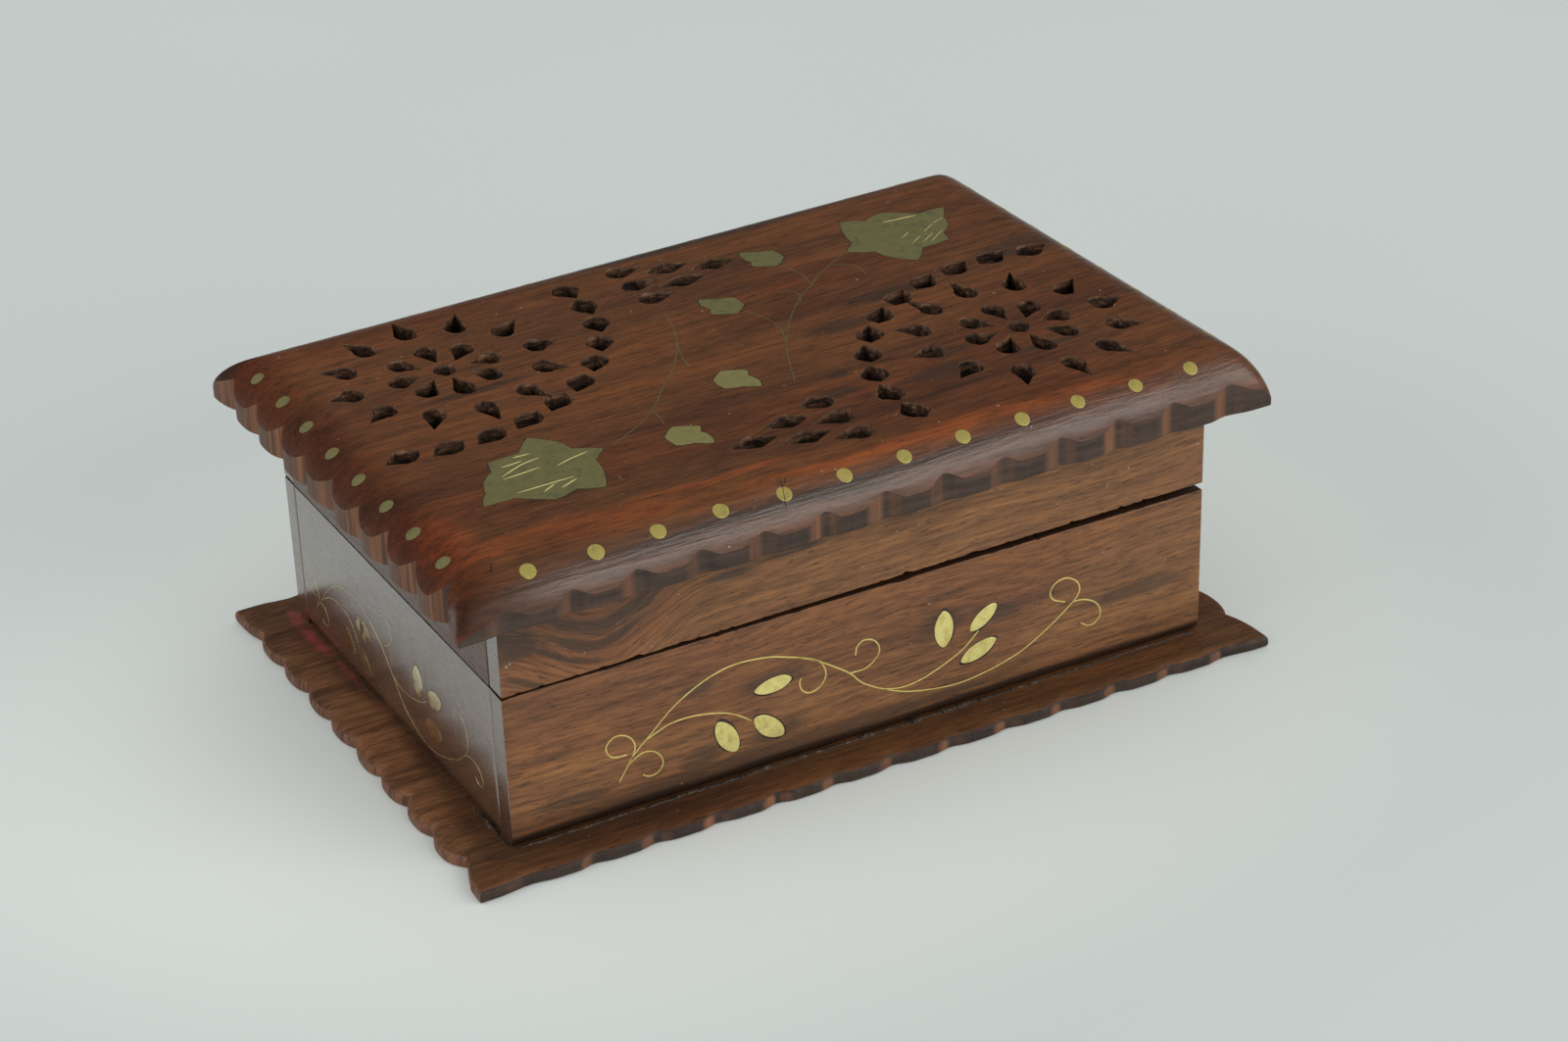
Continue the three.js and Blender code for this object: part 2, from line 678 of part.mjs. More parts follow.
function hingeLeafGeometry(direction) {
  const start = direction * hingeLeafStart;
  let solid = leafPlate(hingeWidth / 2, 0, start, start + direction * hingeLeafHeight);
  for (const x of knucklePlaces(direction)) {
    solid = solid.add(leafPlate(knuckleWidth / 2, x, 0, start + direction * hingeLeafThickness));
    solid = solid.add(solidOf(rodAlongX(knuckleRadius, knuckleWidth).translate(x, 0, 0)));
  }
  solid = solid.subtract(solidOf(rodAlongX(pinRadius + pinClearance, hingeWidth + overrun)));
  const radius = screwHeadRadius + screwClearance;
  for (const x of [-screwSpacing / 2, screwSpacing / 2]) {
    const hole = new THREE.CylinderGeometry(radius, radius, 2 * overrun, hingeSegments);
    hole.translate(x, -knuckleRadius - knuckleFaceGap, direction * screwRise);
    solid = solid.subtract(solidOf(hole));
  }
  return geometryOf(solid);
}

// Screws point into the wood, heads on the back face, with one slot across each head
function screwProfile() {
  return [
    new THREE.Vector2(0, -screwLength),
    new THREE.Vector2(screwShankRadius, -screwLength + screwTipLength),
    new THREE.Vector2(screwShankRadius, 0),
    new THREE.Vector2(screwHeadRadius, 0),
    new THREE.Vector2(screwHeadRadius, hingeLeafThickness),
    new THREE.Vector2(screwCrownRadius, screwHeadHeight),
    new THREE.Vector2(0, screwHeadHeight),
  ];
}

function screwGeometry() {
  const slot = block(3 * screwHeadRadius, 2 * screwSlotDepth, screwSlotWidth);
  slot.translate(0, screwHeadHeight, 0);
  return cutAll(new THREE.LatheGeometry(screwProfile(), hingeSegments), [slot]);
}

function screwPlaces(direction) {
  const places = [];
  for (const centre of hingeCentres()) {
    for (const offset of [-screwSpacing / 2, screwSpacing / 2]) {
      places.push([centre + offset, halfDepth, hingeAxisZ + direction * screwRise]);
    }
  }
  return places;
}

function screwHoles(direction) {
  const radius = screwShankRadius + screwClearance;
  const length = screwLength + screwClearance + overrun;
  return screwPlaces(direction).map(([x, y, z]) => {
    const hole = new THREE.CylinderGeometry(radius, radius, length, hingeSegments);
    return hole.translate(x, y + overrun - length / 2, z);
  });
}

function hingesOf(direction, leafName, screwName) {
  const group = new THREE.Group();
  hingeCentres().forEach((x, i) => {
    const side = i === 0 ? 'left' : 'right';
    const leaf = piece(`${side}_hinge_${leafName}`, hingeLeafGeometry(direction), hingeBrass);
    leaf.position.set(x, hingeAxisY, hingeAxisZ);
    group.add(leaf);
  });
  screwPlaces(direction).forEach(([x, y, z], i) => {
    const screw = piece(`${screwName}_${i + 1}`, screwGeometry(), screwBrass);
    screw.position.set(x, y, z);
    group.add(screw);
  });
  return group;
}

function hingePins() {
  const group = new THREE.Group();
  hingeCentres().forEach((x, i) => {
    const side = i === 0 ? 'left' : 'right';
    const pin = piece(`${side}_hinge_pin`, rodAlongX(pinRadius, hingeWidth + 2 * pinProud), screwBrass);
    pin.position.set(x, hingeAxisY, hingeAxisZ);
    group.add(pin);
  });
  return group;
}

// Box, then everything that lifts with the lid
const box = new THREE.Group();
box.add(baseBoard());
for (const side of ['front', 'left', 'right']) box.add(inlaidWall(side));
box.add(piece('back_wall', cutAll(wallGeometry(faces.back), screwHoles(-1)), bodyWood));
box.add(linings());
box.add(hingesOf(-1, 'lower_leaf', 'lower_screw'));
box.add(hingePins());

const lid = new THREE.Group();
lid.add(lidRims());
lid.add(lidBoard());
lid.add(hingesOf(1, 'upper_leaf', 'upper_screw'));

const keepsakeBox = new THREE.Group();
keepsakeBox.add(box, lid);

export default keepsakeBox;
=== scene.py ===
import math

import bmesh
import bpy
from mathutils import Matrix, Vector, noise


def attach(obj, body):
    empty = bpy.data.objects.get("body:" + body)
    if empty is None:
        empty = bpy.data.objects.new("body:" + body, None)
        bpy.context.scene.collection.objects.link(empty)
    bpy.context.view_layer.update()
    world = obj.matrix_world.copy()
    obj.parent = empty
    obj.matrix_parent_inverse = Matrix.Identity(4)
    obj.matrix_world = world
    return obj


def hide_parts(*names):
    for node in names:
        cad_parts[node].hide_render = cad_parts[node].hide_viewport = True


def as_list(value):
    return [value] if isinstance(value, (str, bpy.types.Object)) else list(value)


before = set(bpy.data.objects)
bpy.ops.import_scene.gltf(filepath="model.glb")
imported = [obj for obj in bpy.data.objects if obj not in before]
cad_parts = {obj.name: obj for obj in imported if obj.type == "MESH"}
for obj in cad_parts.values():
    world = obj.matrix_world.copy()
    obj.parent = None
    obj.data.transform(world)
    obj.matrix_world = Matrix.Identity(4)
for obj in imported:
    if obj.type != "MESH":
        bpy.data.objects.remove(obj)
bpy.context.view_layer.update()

# Sizes are in millimetres until a mesh is made
MM = 0.001

# Body and base
HALF_LENGTH = 90
HALF_DEPTH = 61.2
WALL = 6
BASE_TOP = 3.5
SEAM = 41.1
FOOT_ROUND = 2.5
BASE_HALF = (102.8, 71.7)

# Lid. The seam's gap and the board's thickness are given at the left end and at the right.
RIM_HEIGHT = 20
GLUE_LINE = 0.1
SEAM_GAPS = (0.3, 1.7)
LID_THICKNESSES = (12.5, 15.1)
LID_HALF = (102.2, 69.7)
NOSE_REACH = 13
NOSE_DROP = 9.3
NOSE_ANGLE = 2 * math.atan(NOSE_DROP / NOSE_REACH)
NOSE_RADIUS = NOSE_REACH / math.sin(NOSE_ANGLE)
LEFT_DROP_SHARE = 0.72
CORNER_THICKNESS = 1.6
CORNER_FULLNESS = 6

# Scallops on the long sides and the short sides, and how much of a lobe each end keeps
SCALLOP_DEPTHS = (0.95, 1.7)
LOBES = (14, 10)
LOBE_POINTS = 16
LID_SHARES = (0.775, 0.665)
BASE_SHARES = (0.83, 0.95)

# Inlay
WIRE = 0.38
PROUD = 0.04
DOT_RADIUS = 1.8
DOT_INSET = 5.3

# Linings, with their room all round, under the seam and to the next one
FELT = 0.72
FELT_ROOM = 0.3
FELT_DROP = 3
FELT_CORNER = 1.1

# Hinges
AXIS_Y = 63.3
AXIS_Z = 42.1
HINGE_PLACES = {"left": -55, "right": 55}
HINGE_LENGTH = 22
KNUCKLE_GAP = 0.3
KNUCKLE_RADIUS = 1.8
KNUCKLE_BORE = 0.74
LEAF_THICKNESS = 0.9
SCREW_SPREAD = 6
SCREW_LINE = 6.1


def even(value):
    return value if isinstance(value, tuple) else (value, value, value)


def scaled(values, share):
    return tuple(value * share for value in values)


# Nodes of one material
class Shader:
    def __init__(self, name):
        self.material = bpy.data.materials.new(name)
        self.material.use_nodes = True
        self.tree = self.material.node_tree
        self.surface = self.tree.nodes["Principled BSDF"]
        coordinates = self.tree.nodes.new("ShaderNodeTexCoord")
        self.position = coordinates.outputs["Object"]
        self.facing = coordinates.outputs["Normal"]

    def put(self, socket, value):
        if isinstance(value, bpy.types.NodeSocket):
            self.tree.links.new(value, socket)
        else:
            socket.default_value = value

    def give(self, name, value):
        self.put(self.surface.inputs[name], value)

    def paint(self, colour, rough):
        self.give("Base Color", colour)
        self.give("Roughness", rough)

    def node(self, kind, inputs, output=0, **settings):
        made = self.tree.nodes.new(kind)
        for key, value in settings.items():
            setattr(made, key, value)
        for key, value in inputs.items():
            self.put(made.inputs[key], value)
        return made.outputs[output]

    def math(self, operation, first, second=0.0):
        return self.node("ShaderNodeMath", {0: first, 1: second}, operation=operation)

    def plus(self, first, second):
        return self.math("ADD", first, second)

    def minus(self, first, second):
        return self.math("SUBTRACT", first, second)

    def times(self, first, second):
        return self.math("MULTIPLY", first, second)

    def highest(self, values):
        result = values[0]
        for value in values[1:]:
            result = self.math("MAXIMUM", result, value)
        return result

    def vector(self, operation, first, second=(0, 0, 0), output=0):
        return self.node("ShaderNodeVectorMath", {0: first, 1: second}, output, operation=operation)

    def part(self, vector, i):
        return self.node("ShaderNodeSeparateXYZ", {0: vector}, i)

    # Noise of so many cycles per metre, the same along each axis or three counts
    def noise(self, cycles, detail, rough=0.5, seed=0.0, position=None, output=0):
        place = self.node("ShaderNodeMapping", {
            "Vector": position or self.position,
            "Scale": even(cycles),
            "Location": (seed, seed * 1.7, seed * 0.6),
        })
        inputs = {"Vector": place, "Scale": 1.0, "Detail": detail, "Roughness": rough}
        return self.node("ShaderNodeTexNoise", inputs, output)

    # A place moved about by noise, by this many millimetres
    def shaken(self, position, cycles, size, seed):
        centred = self.vector("SUBTRACT", self.noise(cycles, 2, 0.5, seed, output=1), even(0.5))
        return self.vector("ADD", position, self.vector("MULTIPLY", centred, scaled(even(size), 2 * MM)))

    # How much the surface faces along each axis, both ways alike
    def facing_parts(self):
        bare = self.vector("ABSOLUTE", self.facing)
        return [self.part(bare, i) for i in range(3)]

    # Above nought on a lobe's flank that looks anticlockwise round the box, below it on the other
    def flank(self):
        across, along, _ = self.facing_parts()
        side = self.math("SIGN", self.minus(across, along))
        return self.times(self.times(self.part(self.facing, 0), self.part(self.facing, 1)), side)

    def band(self, value, low, high, to_low=0.0, to_high=1.0):
        inputs = {0: value, 1: low, 2: high, 3: to_low, 4: to_high}
        return self.node("ShaderNodeMapRange", inputs, interpolation_type="SMOOTHSTEP")

    def ramp(self, value, stops):
        made = self.tree.nodes.new("ShaderNodeValToRGB")
        elements = made.color_ramp.elements
        while len(elements) < len(stops):
            elements.new(0.5)
        for element, (place, colour) in zip(elements, stops):
            element.position = place
            element.color = (*colour, 1)
        self.put(made.inputs[0], value)
        return made.outputs[0]

    def mix(self, amount, first, second, blend="MIX"):
        made = self.tree.nodes.new("ShaderNodeMix")
        made.data_type = "RGBA"
        made.blend_type = blend
        for key, value in zip((0, 6, 7), (amount, first, second)):
            if isinstance(value, tuple):
                value = (*value, 1)
            self.put(made.inputs[key], value)
        return made.outputs[2]

    def bump(self, height, distance, strength, name="Normal"):
        inputs = {"Height": height, "Distance": distance, "Strength": strength}
        self.give(name, self.node("ShaderNodeBump", inputs))

    # The grain sags round a knot beside it: a place along x, a width and a depth in millimetres
    def bent(self, middle, width, depth):
        away = self.math("ABSOLUTE", self.minus(self.part(self.position, 0), middle * MM))
        rise = self.band(away, width * MM, 0.0, 0.0, depth * MM)
        return self.vector("ADD", self.position, self.node("ShaderNodeCombineXYZ", {2: rise}))

    # A soft-edged ellipsoid about a place in millimetres, one inside and nought outside
    def spot(self, position, centre, radii, core=0.4):
        offset = self.vector("SUBTRACT", position, scaled(centre, MM))
        away = self.vector("LENGTH", self.vector("DIVIDE", offset, scaled(radii, MM)), output=1)
        return self.band(away, 1.0, core)

    # Numbers that are the same all over the surface
    def finish(self, **values):
        for key, value in values.items():
            self.give(key.replace("_", " "), value)
        return self.material


# Colours that the wood takes on in places, and painted shade
REDDER = (0.78, 0.62, 0.62)
SMUDGE_AND_SHADE = (0.03, 0.025, 0.021)
PORE = (0.014, 0.008, 0.006)
DUST = (0.5, 0.42, 0.32)
DYE = (0.34, 0.055, 0.055)
FOOT_SHADE = (0.012, 0.006, 0.004)
SEAM_SHADE = (0.022, 0.011, 0.007)
END_GRAIN_AND_SHADE = (0.62, 0.44, 0.31)


# Streaks of one board, with the grain along x or along y
class Grain(Shader):
    def __init__(self, name, axis, seed, wave, bend):
        super().__init__(name)
        self.axis = axis
        self.seed = seed
        self.run = self.bent(*bend) if bend else self.position
        self.place = self.shaken(self.run, self.cycles(7, 15), wave, seed)
        self.figure = self.streak(6, 95, 6, 0.62, 0)
        self.broad = self.streak(9, 34, 3, 0.55, 4)
        self.streaks = self.streak(30, 460, 4, 0.6, 7)
        self.fibre = self.streak(110, 1300, 3, 0.6, 0)
        self.pores = self.band(self.streak(260, 2200, 2, 0.5, 9), 0.59, 0.68)
        self.hue = self.streak(8, 26, 3, 0.5, 14)

    def cycles(self, along, across):
        return (along, across, across) if self.axis == "x" else (across, along, across)

    def streak(self, along, across, detail, rough, shift):
        return self.noise(self.cycles(along, across), detail, rough, self.seed + shift, self.place)

    # Dark patches: stains in the wood, and on the front wall's foot painted shade
    def smudged_and_shaded(self, colour, spots, share):
        ragged = self.shaken(self.run, self.cycles(40, 160), (6, 1.5, 1.5), self.seed)
        dark = self.highest([self.spot(ragged, *spot) for spot in spots])
        dark = self.times(dark, self.band(self.fibre, 0.3, 0.62, 0.6, 1.0))
        return self.mix(self.times(dark, share), colour, SMUDGE_AND_SHADE)

    # Paler patches: the wood's own paler tone on the lid, and painted light on the base's left strip
    def paler_and_lit(self, colour, spots, pale_and_lit_tone):
        loose = self.shaken(self.position, 30, 5, self.seed)
        bright = self.highest([self.spot(loose, *spot) for spot in spots])
        bright = self.times(bright, self.band(self.streaks, 0.34, 0.6, 0.5, 0.95))
        bright = self.times(bright, self.band(self.figure, 0.3, 0.55, 0.45, 0.85))
        return self.mix(bright, colour, pale_and_lit_tone)

    def dyed(self, colour, spots):
        smeared = self.shaken(self.position, 220, (1.6, 2.2, 1), self.seed)
        dye = self.highest([self.times(self.spot(smeared, *spot, 0.1), share) for share, *spot in spots])
        dye = self.times(dye, self.band(self.noise(420, 4, 0.6, self.seed + 2), 0.36, 0.58, 0.3, 1.0))
        return self.mix(self.times(dye, 0.9), colour, DYE)

    # Painted shade along the foot of a wall, darkest at the bottom
    def shaded_foot(self, colour, share):
        height = self.plus(self.part(self.position, 2), self.times(self.broad, 0.003))
        return self.mix(self.times(self.band(height, 0.0085, 0.0072), share), colour, FOOT_SHADE)

    # The coat shines where the lid's edge bends over, and less where it is steep or near the left end
    def shine_on_bends(self, coat):
        upward = self.facing_parts()[2]
        bent = self.times(self.band(upward, 0.99, 0.8, 0.0, coat), self.band(upward, 0.3, 0.62, 0.22, 1.0))
        bent = self.times(bent, self.band(self.streaks, 0.3, 0.6, 0.75, 1.0))
        bent = self.times(bent, self.band(self.part(self.position, 0), -0.094, -0.072, 0.08, 1.0))
        corner = self.spot(self.position, (-102.8, -66.5, 66), (3.4, 4, 12), 0.55)
        self.give("Coat Weight", self.math("MAXIMUM", bent, self.times(corner, 0.62)))
        self.bump(self.plus(self.streaks, self.fibre), 0.0003, 0.6, "Coat Normal")


# Varnished sheesham
def wood(name, axis, seed, tones, dark_spots=(), bright_spots=(), dye_spots=(), smudge_and_shade=0.72, pale_and_lit_tone=None,
         foot=0.0, seam=False, nose=False, wave=5, bend=None, contrast=1.0, gloss=0.4, coat=0.0,
         coat_rough=0.2, coat_ior=1.5, ior=1.45):
    s = Grain(name, axis, seed, wave, bend)
    colour = s.ramp(s.figure, tones)
    colour = s.mix(s.band(s.hue, 0.46, 0.62, 0, 0.7), colour, s.mix(1.0, colour, REDDER, "MULTIPLY"))
    colour = s.mix(s.band(s.broad, 0.48, 0.72, 0, 0.42 * contrast), colour, tones[0][1])
    if dark_spots:
        colour = s.smudged_and_shaded(colour, dark_spots, smudge_and_shade)
    if bright_spots:
        colour = s.paler_and_lit(colour, bright_spots, pale_and_lit_tone)
    thread = scaled(tones[0][1], 0.4)
    colour = s.mix(s.band(s.streaks, 0.3, 0.62, 0.42 * contrast, 0.0), colour, thread)
    colour = s.mix(s.band(s.fibre, 0.3, 0.6, 0.5 * contrast, 0.0), colour, thread)
    colour = s.mix(s.band(s.fibre, 0.5, 0.75, 0.0, 0.25 * contrast), colour, tones[-1][1])
    colour = s.mix(s.times(s.pores, 0.45), colour, PORE)
    dust = s.band(s.noise(620, 2, 0.5, seed + 21), 0.745, 0.775)
    colour = s.mix(s.times(dust, 0.5), colour, DUST)
    if dye_spots:
        colour = s.dyed(colour, dye_spots)
    # Painted shade along the wall's foot
    if foot:
        colour = s.shaded_foot(colour, foot)
    if seam:
        colour = s.mix(s.band(s.facing_parts()[2], 0.45, 0.85, 0, 0.85), colour, SEAM_SHADE)
    # Darker toward the lid's left end: end grain, and painted shade on that side
    if nose:
        end = s.mix(1.0, colour, END_GRAIN_AND_SHADE, "MULTIPLY")
        colour = s.mix(s.band(s.part(s.position, 0), -0.086, -0.099), colour, end)
    rough = s.band(s.fibre, 0.3, 0.7, gloss + 0.07, gloss - 0.04)
    s.paint(colour, s.plus(rough, s.times(s.pores, 0.2)))
    raised = s.plus(s.times(s.fibre, 0.7), s.times(s.streaks, 0.5))
    s.bump(s.minus(raised, s.pores), 0.00006, 0.6 * contrast)
    if nose:
        s.shine_on_bends(coat)
    else:
        s.give("Coat Weight", coat)
    return s.finish(Coat_Roughness=coat_rough, Coat_IOR=coat_ior, IOR=ior)


def shades(colour, *stops):
    return [(place, scaled(colour, share)) for place, share in stops]


# The lobes' sawn faces: dark crowns, paler end grain on the short sides, and raw walls in the notches, strong
# on one flank and faint on the other as painted light and shade
def scallop_wood(name, seed, crown, end_grain, notch):
    s = Shader(name)
    across, along, _ = s.facing_parts()
    marks = s.noise((650, 650, 40), 4, 0.6, seed)
    grain = s.noise((40, 600, 600), 4, 0.6, seed + 1)
    colour = s.ramp(grain, shades(crown, (0.3, 0.5), (0.55, 1), (0.75, 1.5)))
    end = s.ramp(marks, shades(end_grain, (0.3, 0.6), (0.7, 1.2)))
    raw = s.ramp(marks, shades(notch, (0.3, 0.5), (0.7, 1.2)))
    colour = s.mix(s.band(s.minus(across, along), -0.1, 0.1), colour, end)
    # Raw notch walls: raw wood, with painted light on the flank that faces one way round the box and painted
    # shade on the other
    flank = s.flank()
    uneven = s.noise((45, 45, 8), 2, 0.5, seed + 5)
    bare = s.times(s.band(flank, 0.08, 0.25), s.band(uneven, 0.3, 0.6, 0.3, 1.0))
    other = s.times(s.band(flank, -0.12, -0.3), s.band(uneven, 0.4, 0.65, 0.0, 0.35))
    colour = s.mix(s.math("MAXIMUM", bare, other), colour, raw)
    sawn = s.band(s.noise((900, 900, 30), 3, 0.6, seed + 8), 0.35, 0.55, 0.6, 0.0)
    sawn = s.times(sawn, s.band(across, 0.2, 0.5, 0.2, 1.0))
    colour = s.mix(sawn, colour, scaled(crown, 0.4))
    s.paint(colour, s.band(marks, 0.3, 0.7, 0.45, 0.7))
    s.bump(s.plus(marks, s.times(grain, 0.7)), 0.00012, 0.7)
    return s.finish(IOR=1.45)


# Drilled and sawn holes: torn fibres along the grain, pale at the mouth and darker farther down as painted
# shade
def hole_wood():
    s = Shader("drilled wood")
    fibres = s.noise((90, 700, 800), 4, 0.65, 5)
    chips = s.noise(500, 4, 0.6, 8)
    slope = (lid_top(HALF_LENGTH) - lid_top(-HALF_LENGTH)) / (2 * HALF_LENGTH)
    mouth = s.plus(lid_top(0) * MM, s.times(s.part(s.position, 0), slope))
    depth = s.minus(mouth, s.part(s.position, 2))
    colour = s.ramp(fibres, HOLE_TONES)
    colour = s.mix(s.band(chips, 0.5, 0.7, 0, 0.45), colour, HOLE_TONES[0][1])
    colour = s.mix(s.band(depth, 0.0009, 0.0, 0.0, 0.3), colour, HOLE_TONES[-1][1])
    # Painted shade, darker deeper in the openings
    colour = s.mix(s.band(depth, 0.0005, 0.0045, 0.0, 0.88), colour, (0.006, 0.003, 0.002))
    s.paint(colour, s.band(chips, 0.3, 0.7, 0.5, 0.8))
    s.bump(s.plus(fibres, s.times(chips, 0.6)), 0.0003, 0.9)
    return s.finish(IOR=1.45)


def brass(name, seed, bright, dull, dull_share, rough, metallic=0.9, bumps=0.5):
    s = Shader(name)
    cloud = s.noise(420, 5, 0.65, seed)
    fine = s.noise((2400, 900, 1500), 3, 0.6, seed + 2)
    low = 0.68 - dull_share * 0.5
    colour = s.mix(s.band(cloud, low, low + 0.3, 0, 0.7), bright, dull)
    colour = s.mix(s.band(fine, 0.55, 0.72, 0, 0.5), colour, dull)
    s.paint(colour, s.band(cloud, 0.35, 0.65, rough - 0.06, rough + 0.1))
    s.bump(s.plus(fine, s.times(cloud, 0.5)), 0.00003, bumps)
    return s.finish(Metallic=metallic)


def felt():
    s = Shader("red felt")
    nap = s.noise(900, 4, 0.7, 2)
    colour = s.ramp(nap, [(0.3, (0.16, 0.008, 0.02)), (0.5, (0.33, 0.02, 0.04)), (0.75, (0.5, 0.07, 0.09))])
    worn = s.band(s.noise(30, 3, 0.5, 5), 0.5, 0.75, 0, 0.4)
    s.paint(s.mix(worn, colour, (0.3, 0.05, 0.06)), s.band(nap, 0.3, 0.7, 0.85, 1.0))
    s.bump(nap, 0.0003, 0.9)
    return s.finish(Sheen_Weight=0.4, Sheen_Roughness=0.5)


# Old glue and dust
def residue():
    s = Shader("old glue and dust")
    lumps = s.noise(500, 4, 0.6, 6)
    grit = s.noise(1500, 2, 0.5, 8)
    stops = [(0.35, (0.02, 0.011, 0.007)), (0.55, (0.06, 0.034, 0.022)), (0.72, (0.16, 0.11, 0.075))]
    colour = s.mix(s.band(grit, 0.62, 0.72, 0, 0.6), s.ramp(lumps, stops), (0.3, 0.25, 0.19))
    s.paint(colour, s.band(lumps, 0.3, 0.7, 0.5, 0.8))
    s.bump(s.plus(lumps, grit), 0.00015, 0.8)
    return s.finish(IOR=1.45)


def filler():
    s = Shader("dark filler")
    lumps = s.noise(700, 3, 0.6, 3)
    colour = s.ramp(lumps, [(0.35, (0.012, 0.007, 0.005)), (0.65, (0.045, 0.022, 0.013))])
    s.paint(colour, s.band(lumps, 0.3, 0.7, 0.35, 0.55))
    s.bump(lumps, 0.00006, 0.6)
    return s.finish(IOR=1.5)


# Shared forms
def between(low, high, share):
    return low + (high - low) * share


def wobble(place, seed, size):
    return size * noise.noise(Vector((place, seed * 3.17, 0.53)))


def from_ends(ends, x):
    return between(*ends, x / (2 * HALF_LENGTH) + 0.5)


def seam_gap(x):
    return from_ends(SEAM_GAPS, x)


def lid_underside(x):
    return SEAM + RIM_HEIGHT + GLUE_LINE + seam_gap(x)


def lid_top(x):
    return lid_underside(x) + from_ends(LID_THICKNESSES, x)


def edge_drop(distance):
    reach = min(max(NOSE_REACH - distance, 0), NOSE_REACH)
    return NOSE_RADIUS - math.sqrt(NOSE_RADIUS ** 2 - reach ** 2)


def lid_surface(x, y):
    back_left = max(-x / LID_HALF[0], 0) * max(y / LID_HALF[1], 0)
    power = 2 + CORNER_FULLNESS * back_left ** 3
    share = LEFT_DROP_SHARE if x < 0 else 1
    drops = edge_drop(LID_HALF[0] - abs(x)) * share, edge_drop(LID_HALF[1] - abs(y))
    drop = sum(d ** power for d in drops) ** (1 / power)
    return max(lid_top(x) - drop, lid_underside(x) + CORNER_THICKNESS)


# A place on an outside face: across to the viewer's right, up, and out from the face
def on_face(side, across, up, out):
    if side == "front":
        return (across, -HALF_DEPTH - out, up)
    if side == "back":
        return (-across, HALF_DEPTH + out, up)
    if side == "left":
        return (-HALF_LENGTH - out, -across, up)
    return (HALF_LENGTH + out, across, up)


def on_lid(x, y, out):
    return (x, y, lid_top(x) + out)


# Uniform Catmull-Rom through the points
def spline_point(points, share):
    place = share * (len(points) - 1)
    i = min(int(place), len(points) - 2)
    t = place - i
    p0, p1 = points[max(i - 1, 0)], points[i]
    p2, p3 = points[i + 1], points[min(i + 2, len(points) - 1)]
    result = []
    for a, b, c, d in zip(p0, p1, p2, p3):
        v0, v1 = (c - a) / 2, (d - b) / 2
        result.append((2 * b - 2 * c + v0 + v1) * t ** 3 + (3 * c - 3 * b - 2 * v0 - v1) * t * t + v0 * t + b)
    return tuple(result)


def spline(points, steps):
    count = steps * (len(points) - 1)
    return [spline_point(points, i / count) for i in range(count + 1)]


def shade(mesh, degrees=32):
    mesh.shade_smooth()
    mesh.set_sharp_from_angle(angle=math.radians(degrees))


def make_mesh(name, shape, materials, kinds=None):
    points, faces = shape
    mesh = bpy.data.meshes.new(name)
    mesh.from_pydata([Vector(p) * MM for p in points], [], faces)
    for material in materials:
        mesh.materials.append(material)
    if kinds:
        mesh.polygons.foreach_set("material_index", kinds)
    work = bmesh.new()
    work.from_mesh(mesh)
    bmesh.ops.recalc_face_normals(work, faces=work.faces)
    work.to_mesh(mesh)
    work.free()
    shade(mesh)
    return mesh


def add_object(name, data):
    made = bpy.data.objects.new(name, data)
    bpy.context.collection.objects.link(made)
    return made


def weigh_normals(made):
    modifier = made.modifiers.new("normals", "WEIGHTED_NORMAL")
    modifier.keep_sharp = True


def add_piece(name, shape, materials, body, slot, *nodes, kinds=None):
    made = add_object(name, make_mesh(name, shape, materials, kinds))
    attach(made, body)
    if nodes:
        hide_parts(*nodes)
    return made


# Rings of equal count joined into a solid, with a cap at each end or back to the first ring
def loft(rings, closed=False):
    count = len(rings[0])
    points = [p for ring in rings for p in ring]
    total = len(points)
    faces = []
    for start in range(0, total if closed else total - count, count):
        after = (start + count) % total
        for i in range(count):
            j = (i + 1) % count
            faces.append((start + i, start + j, after + j, after + i))
    if not closed:
        faces.append(tuple(reversed(range(count))))
        faces.append(tuple(range(total - count, total)))
    return points, faces


def merged(parts):
    points, faces = [], []
    for part_points, part_faces in parts:
        start = len(points)
        points += part_points
        faces += [tuple(start + i for i in face) for face in part_faces]
    return points, faces


# The outline moved outwards by one distance
def grown(outline, distance):
    area = sum(a[0] * b[1] - b[0] * a[1] for a, b in zip(outline, outline[1:] + outline[:1]))
    side = 1 if area > 0 else -1
    result = []
    for i, point in enumerate(outline):
        here = Vector(point)
        inward = (here - Vector(outline[i - 1])).normalized()
        onward = (Vector(outline[(i + 1) % len(outline)]) - here).normalized()
        mitre = Vector((inward.y + onward.y, -inward.x - onward.x))
        result.append(tuple(here + mitre * side * distance / max(1 + inward.dot(onward), 0.25)))
    return result


def subtract(made, name, shape, material):
    cutter = add_object(name, make_mesh(name, shape, [material]))
    modifier = made.modifiers.new("cut", "BOOLEAN")
    modifier.operation = "DIFFERENCE"
    modifier.solver = "MANIFOLD"
    modifier.object = cutter
    graph = bpy.context.evaluated_depsgraph_get()
    mesh = bpy.data.meshes.new_from_object(made.evaluated_get(graph))
    made.modifiers.remove(modifier)
    made.data = mesh
    bpy.data.objects.remove(cutter)
    shade(mesh)


# Scalloped edges
def lobe_inset(share, lobe, lobes, depth, roundness):
    away = abs(2 * share - 1)
    if lobe == 0:
        away = share
    if lobe == lobes - 1:
        away = 1 - share
    reach = max((away - 0.35) / 0.65, 0)
    return depth * between(0.1 * away ** 2 + 0.9 * reach ** 2 * (3 - 2 * reach), away ** 2.6 * 1.3, roundness)


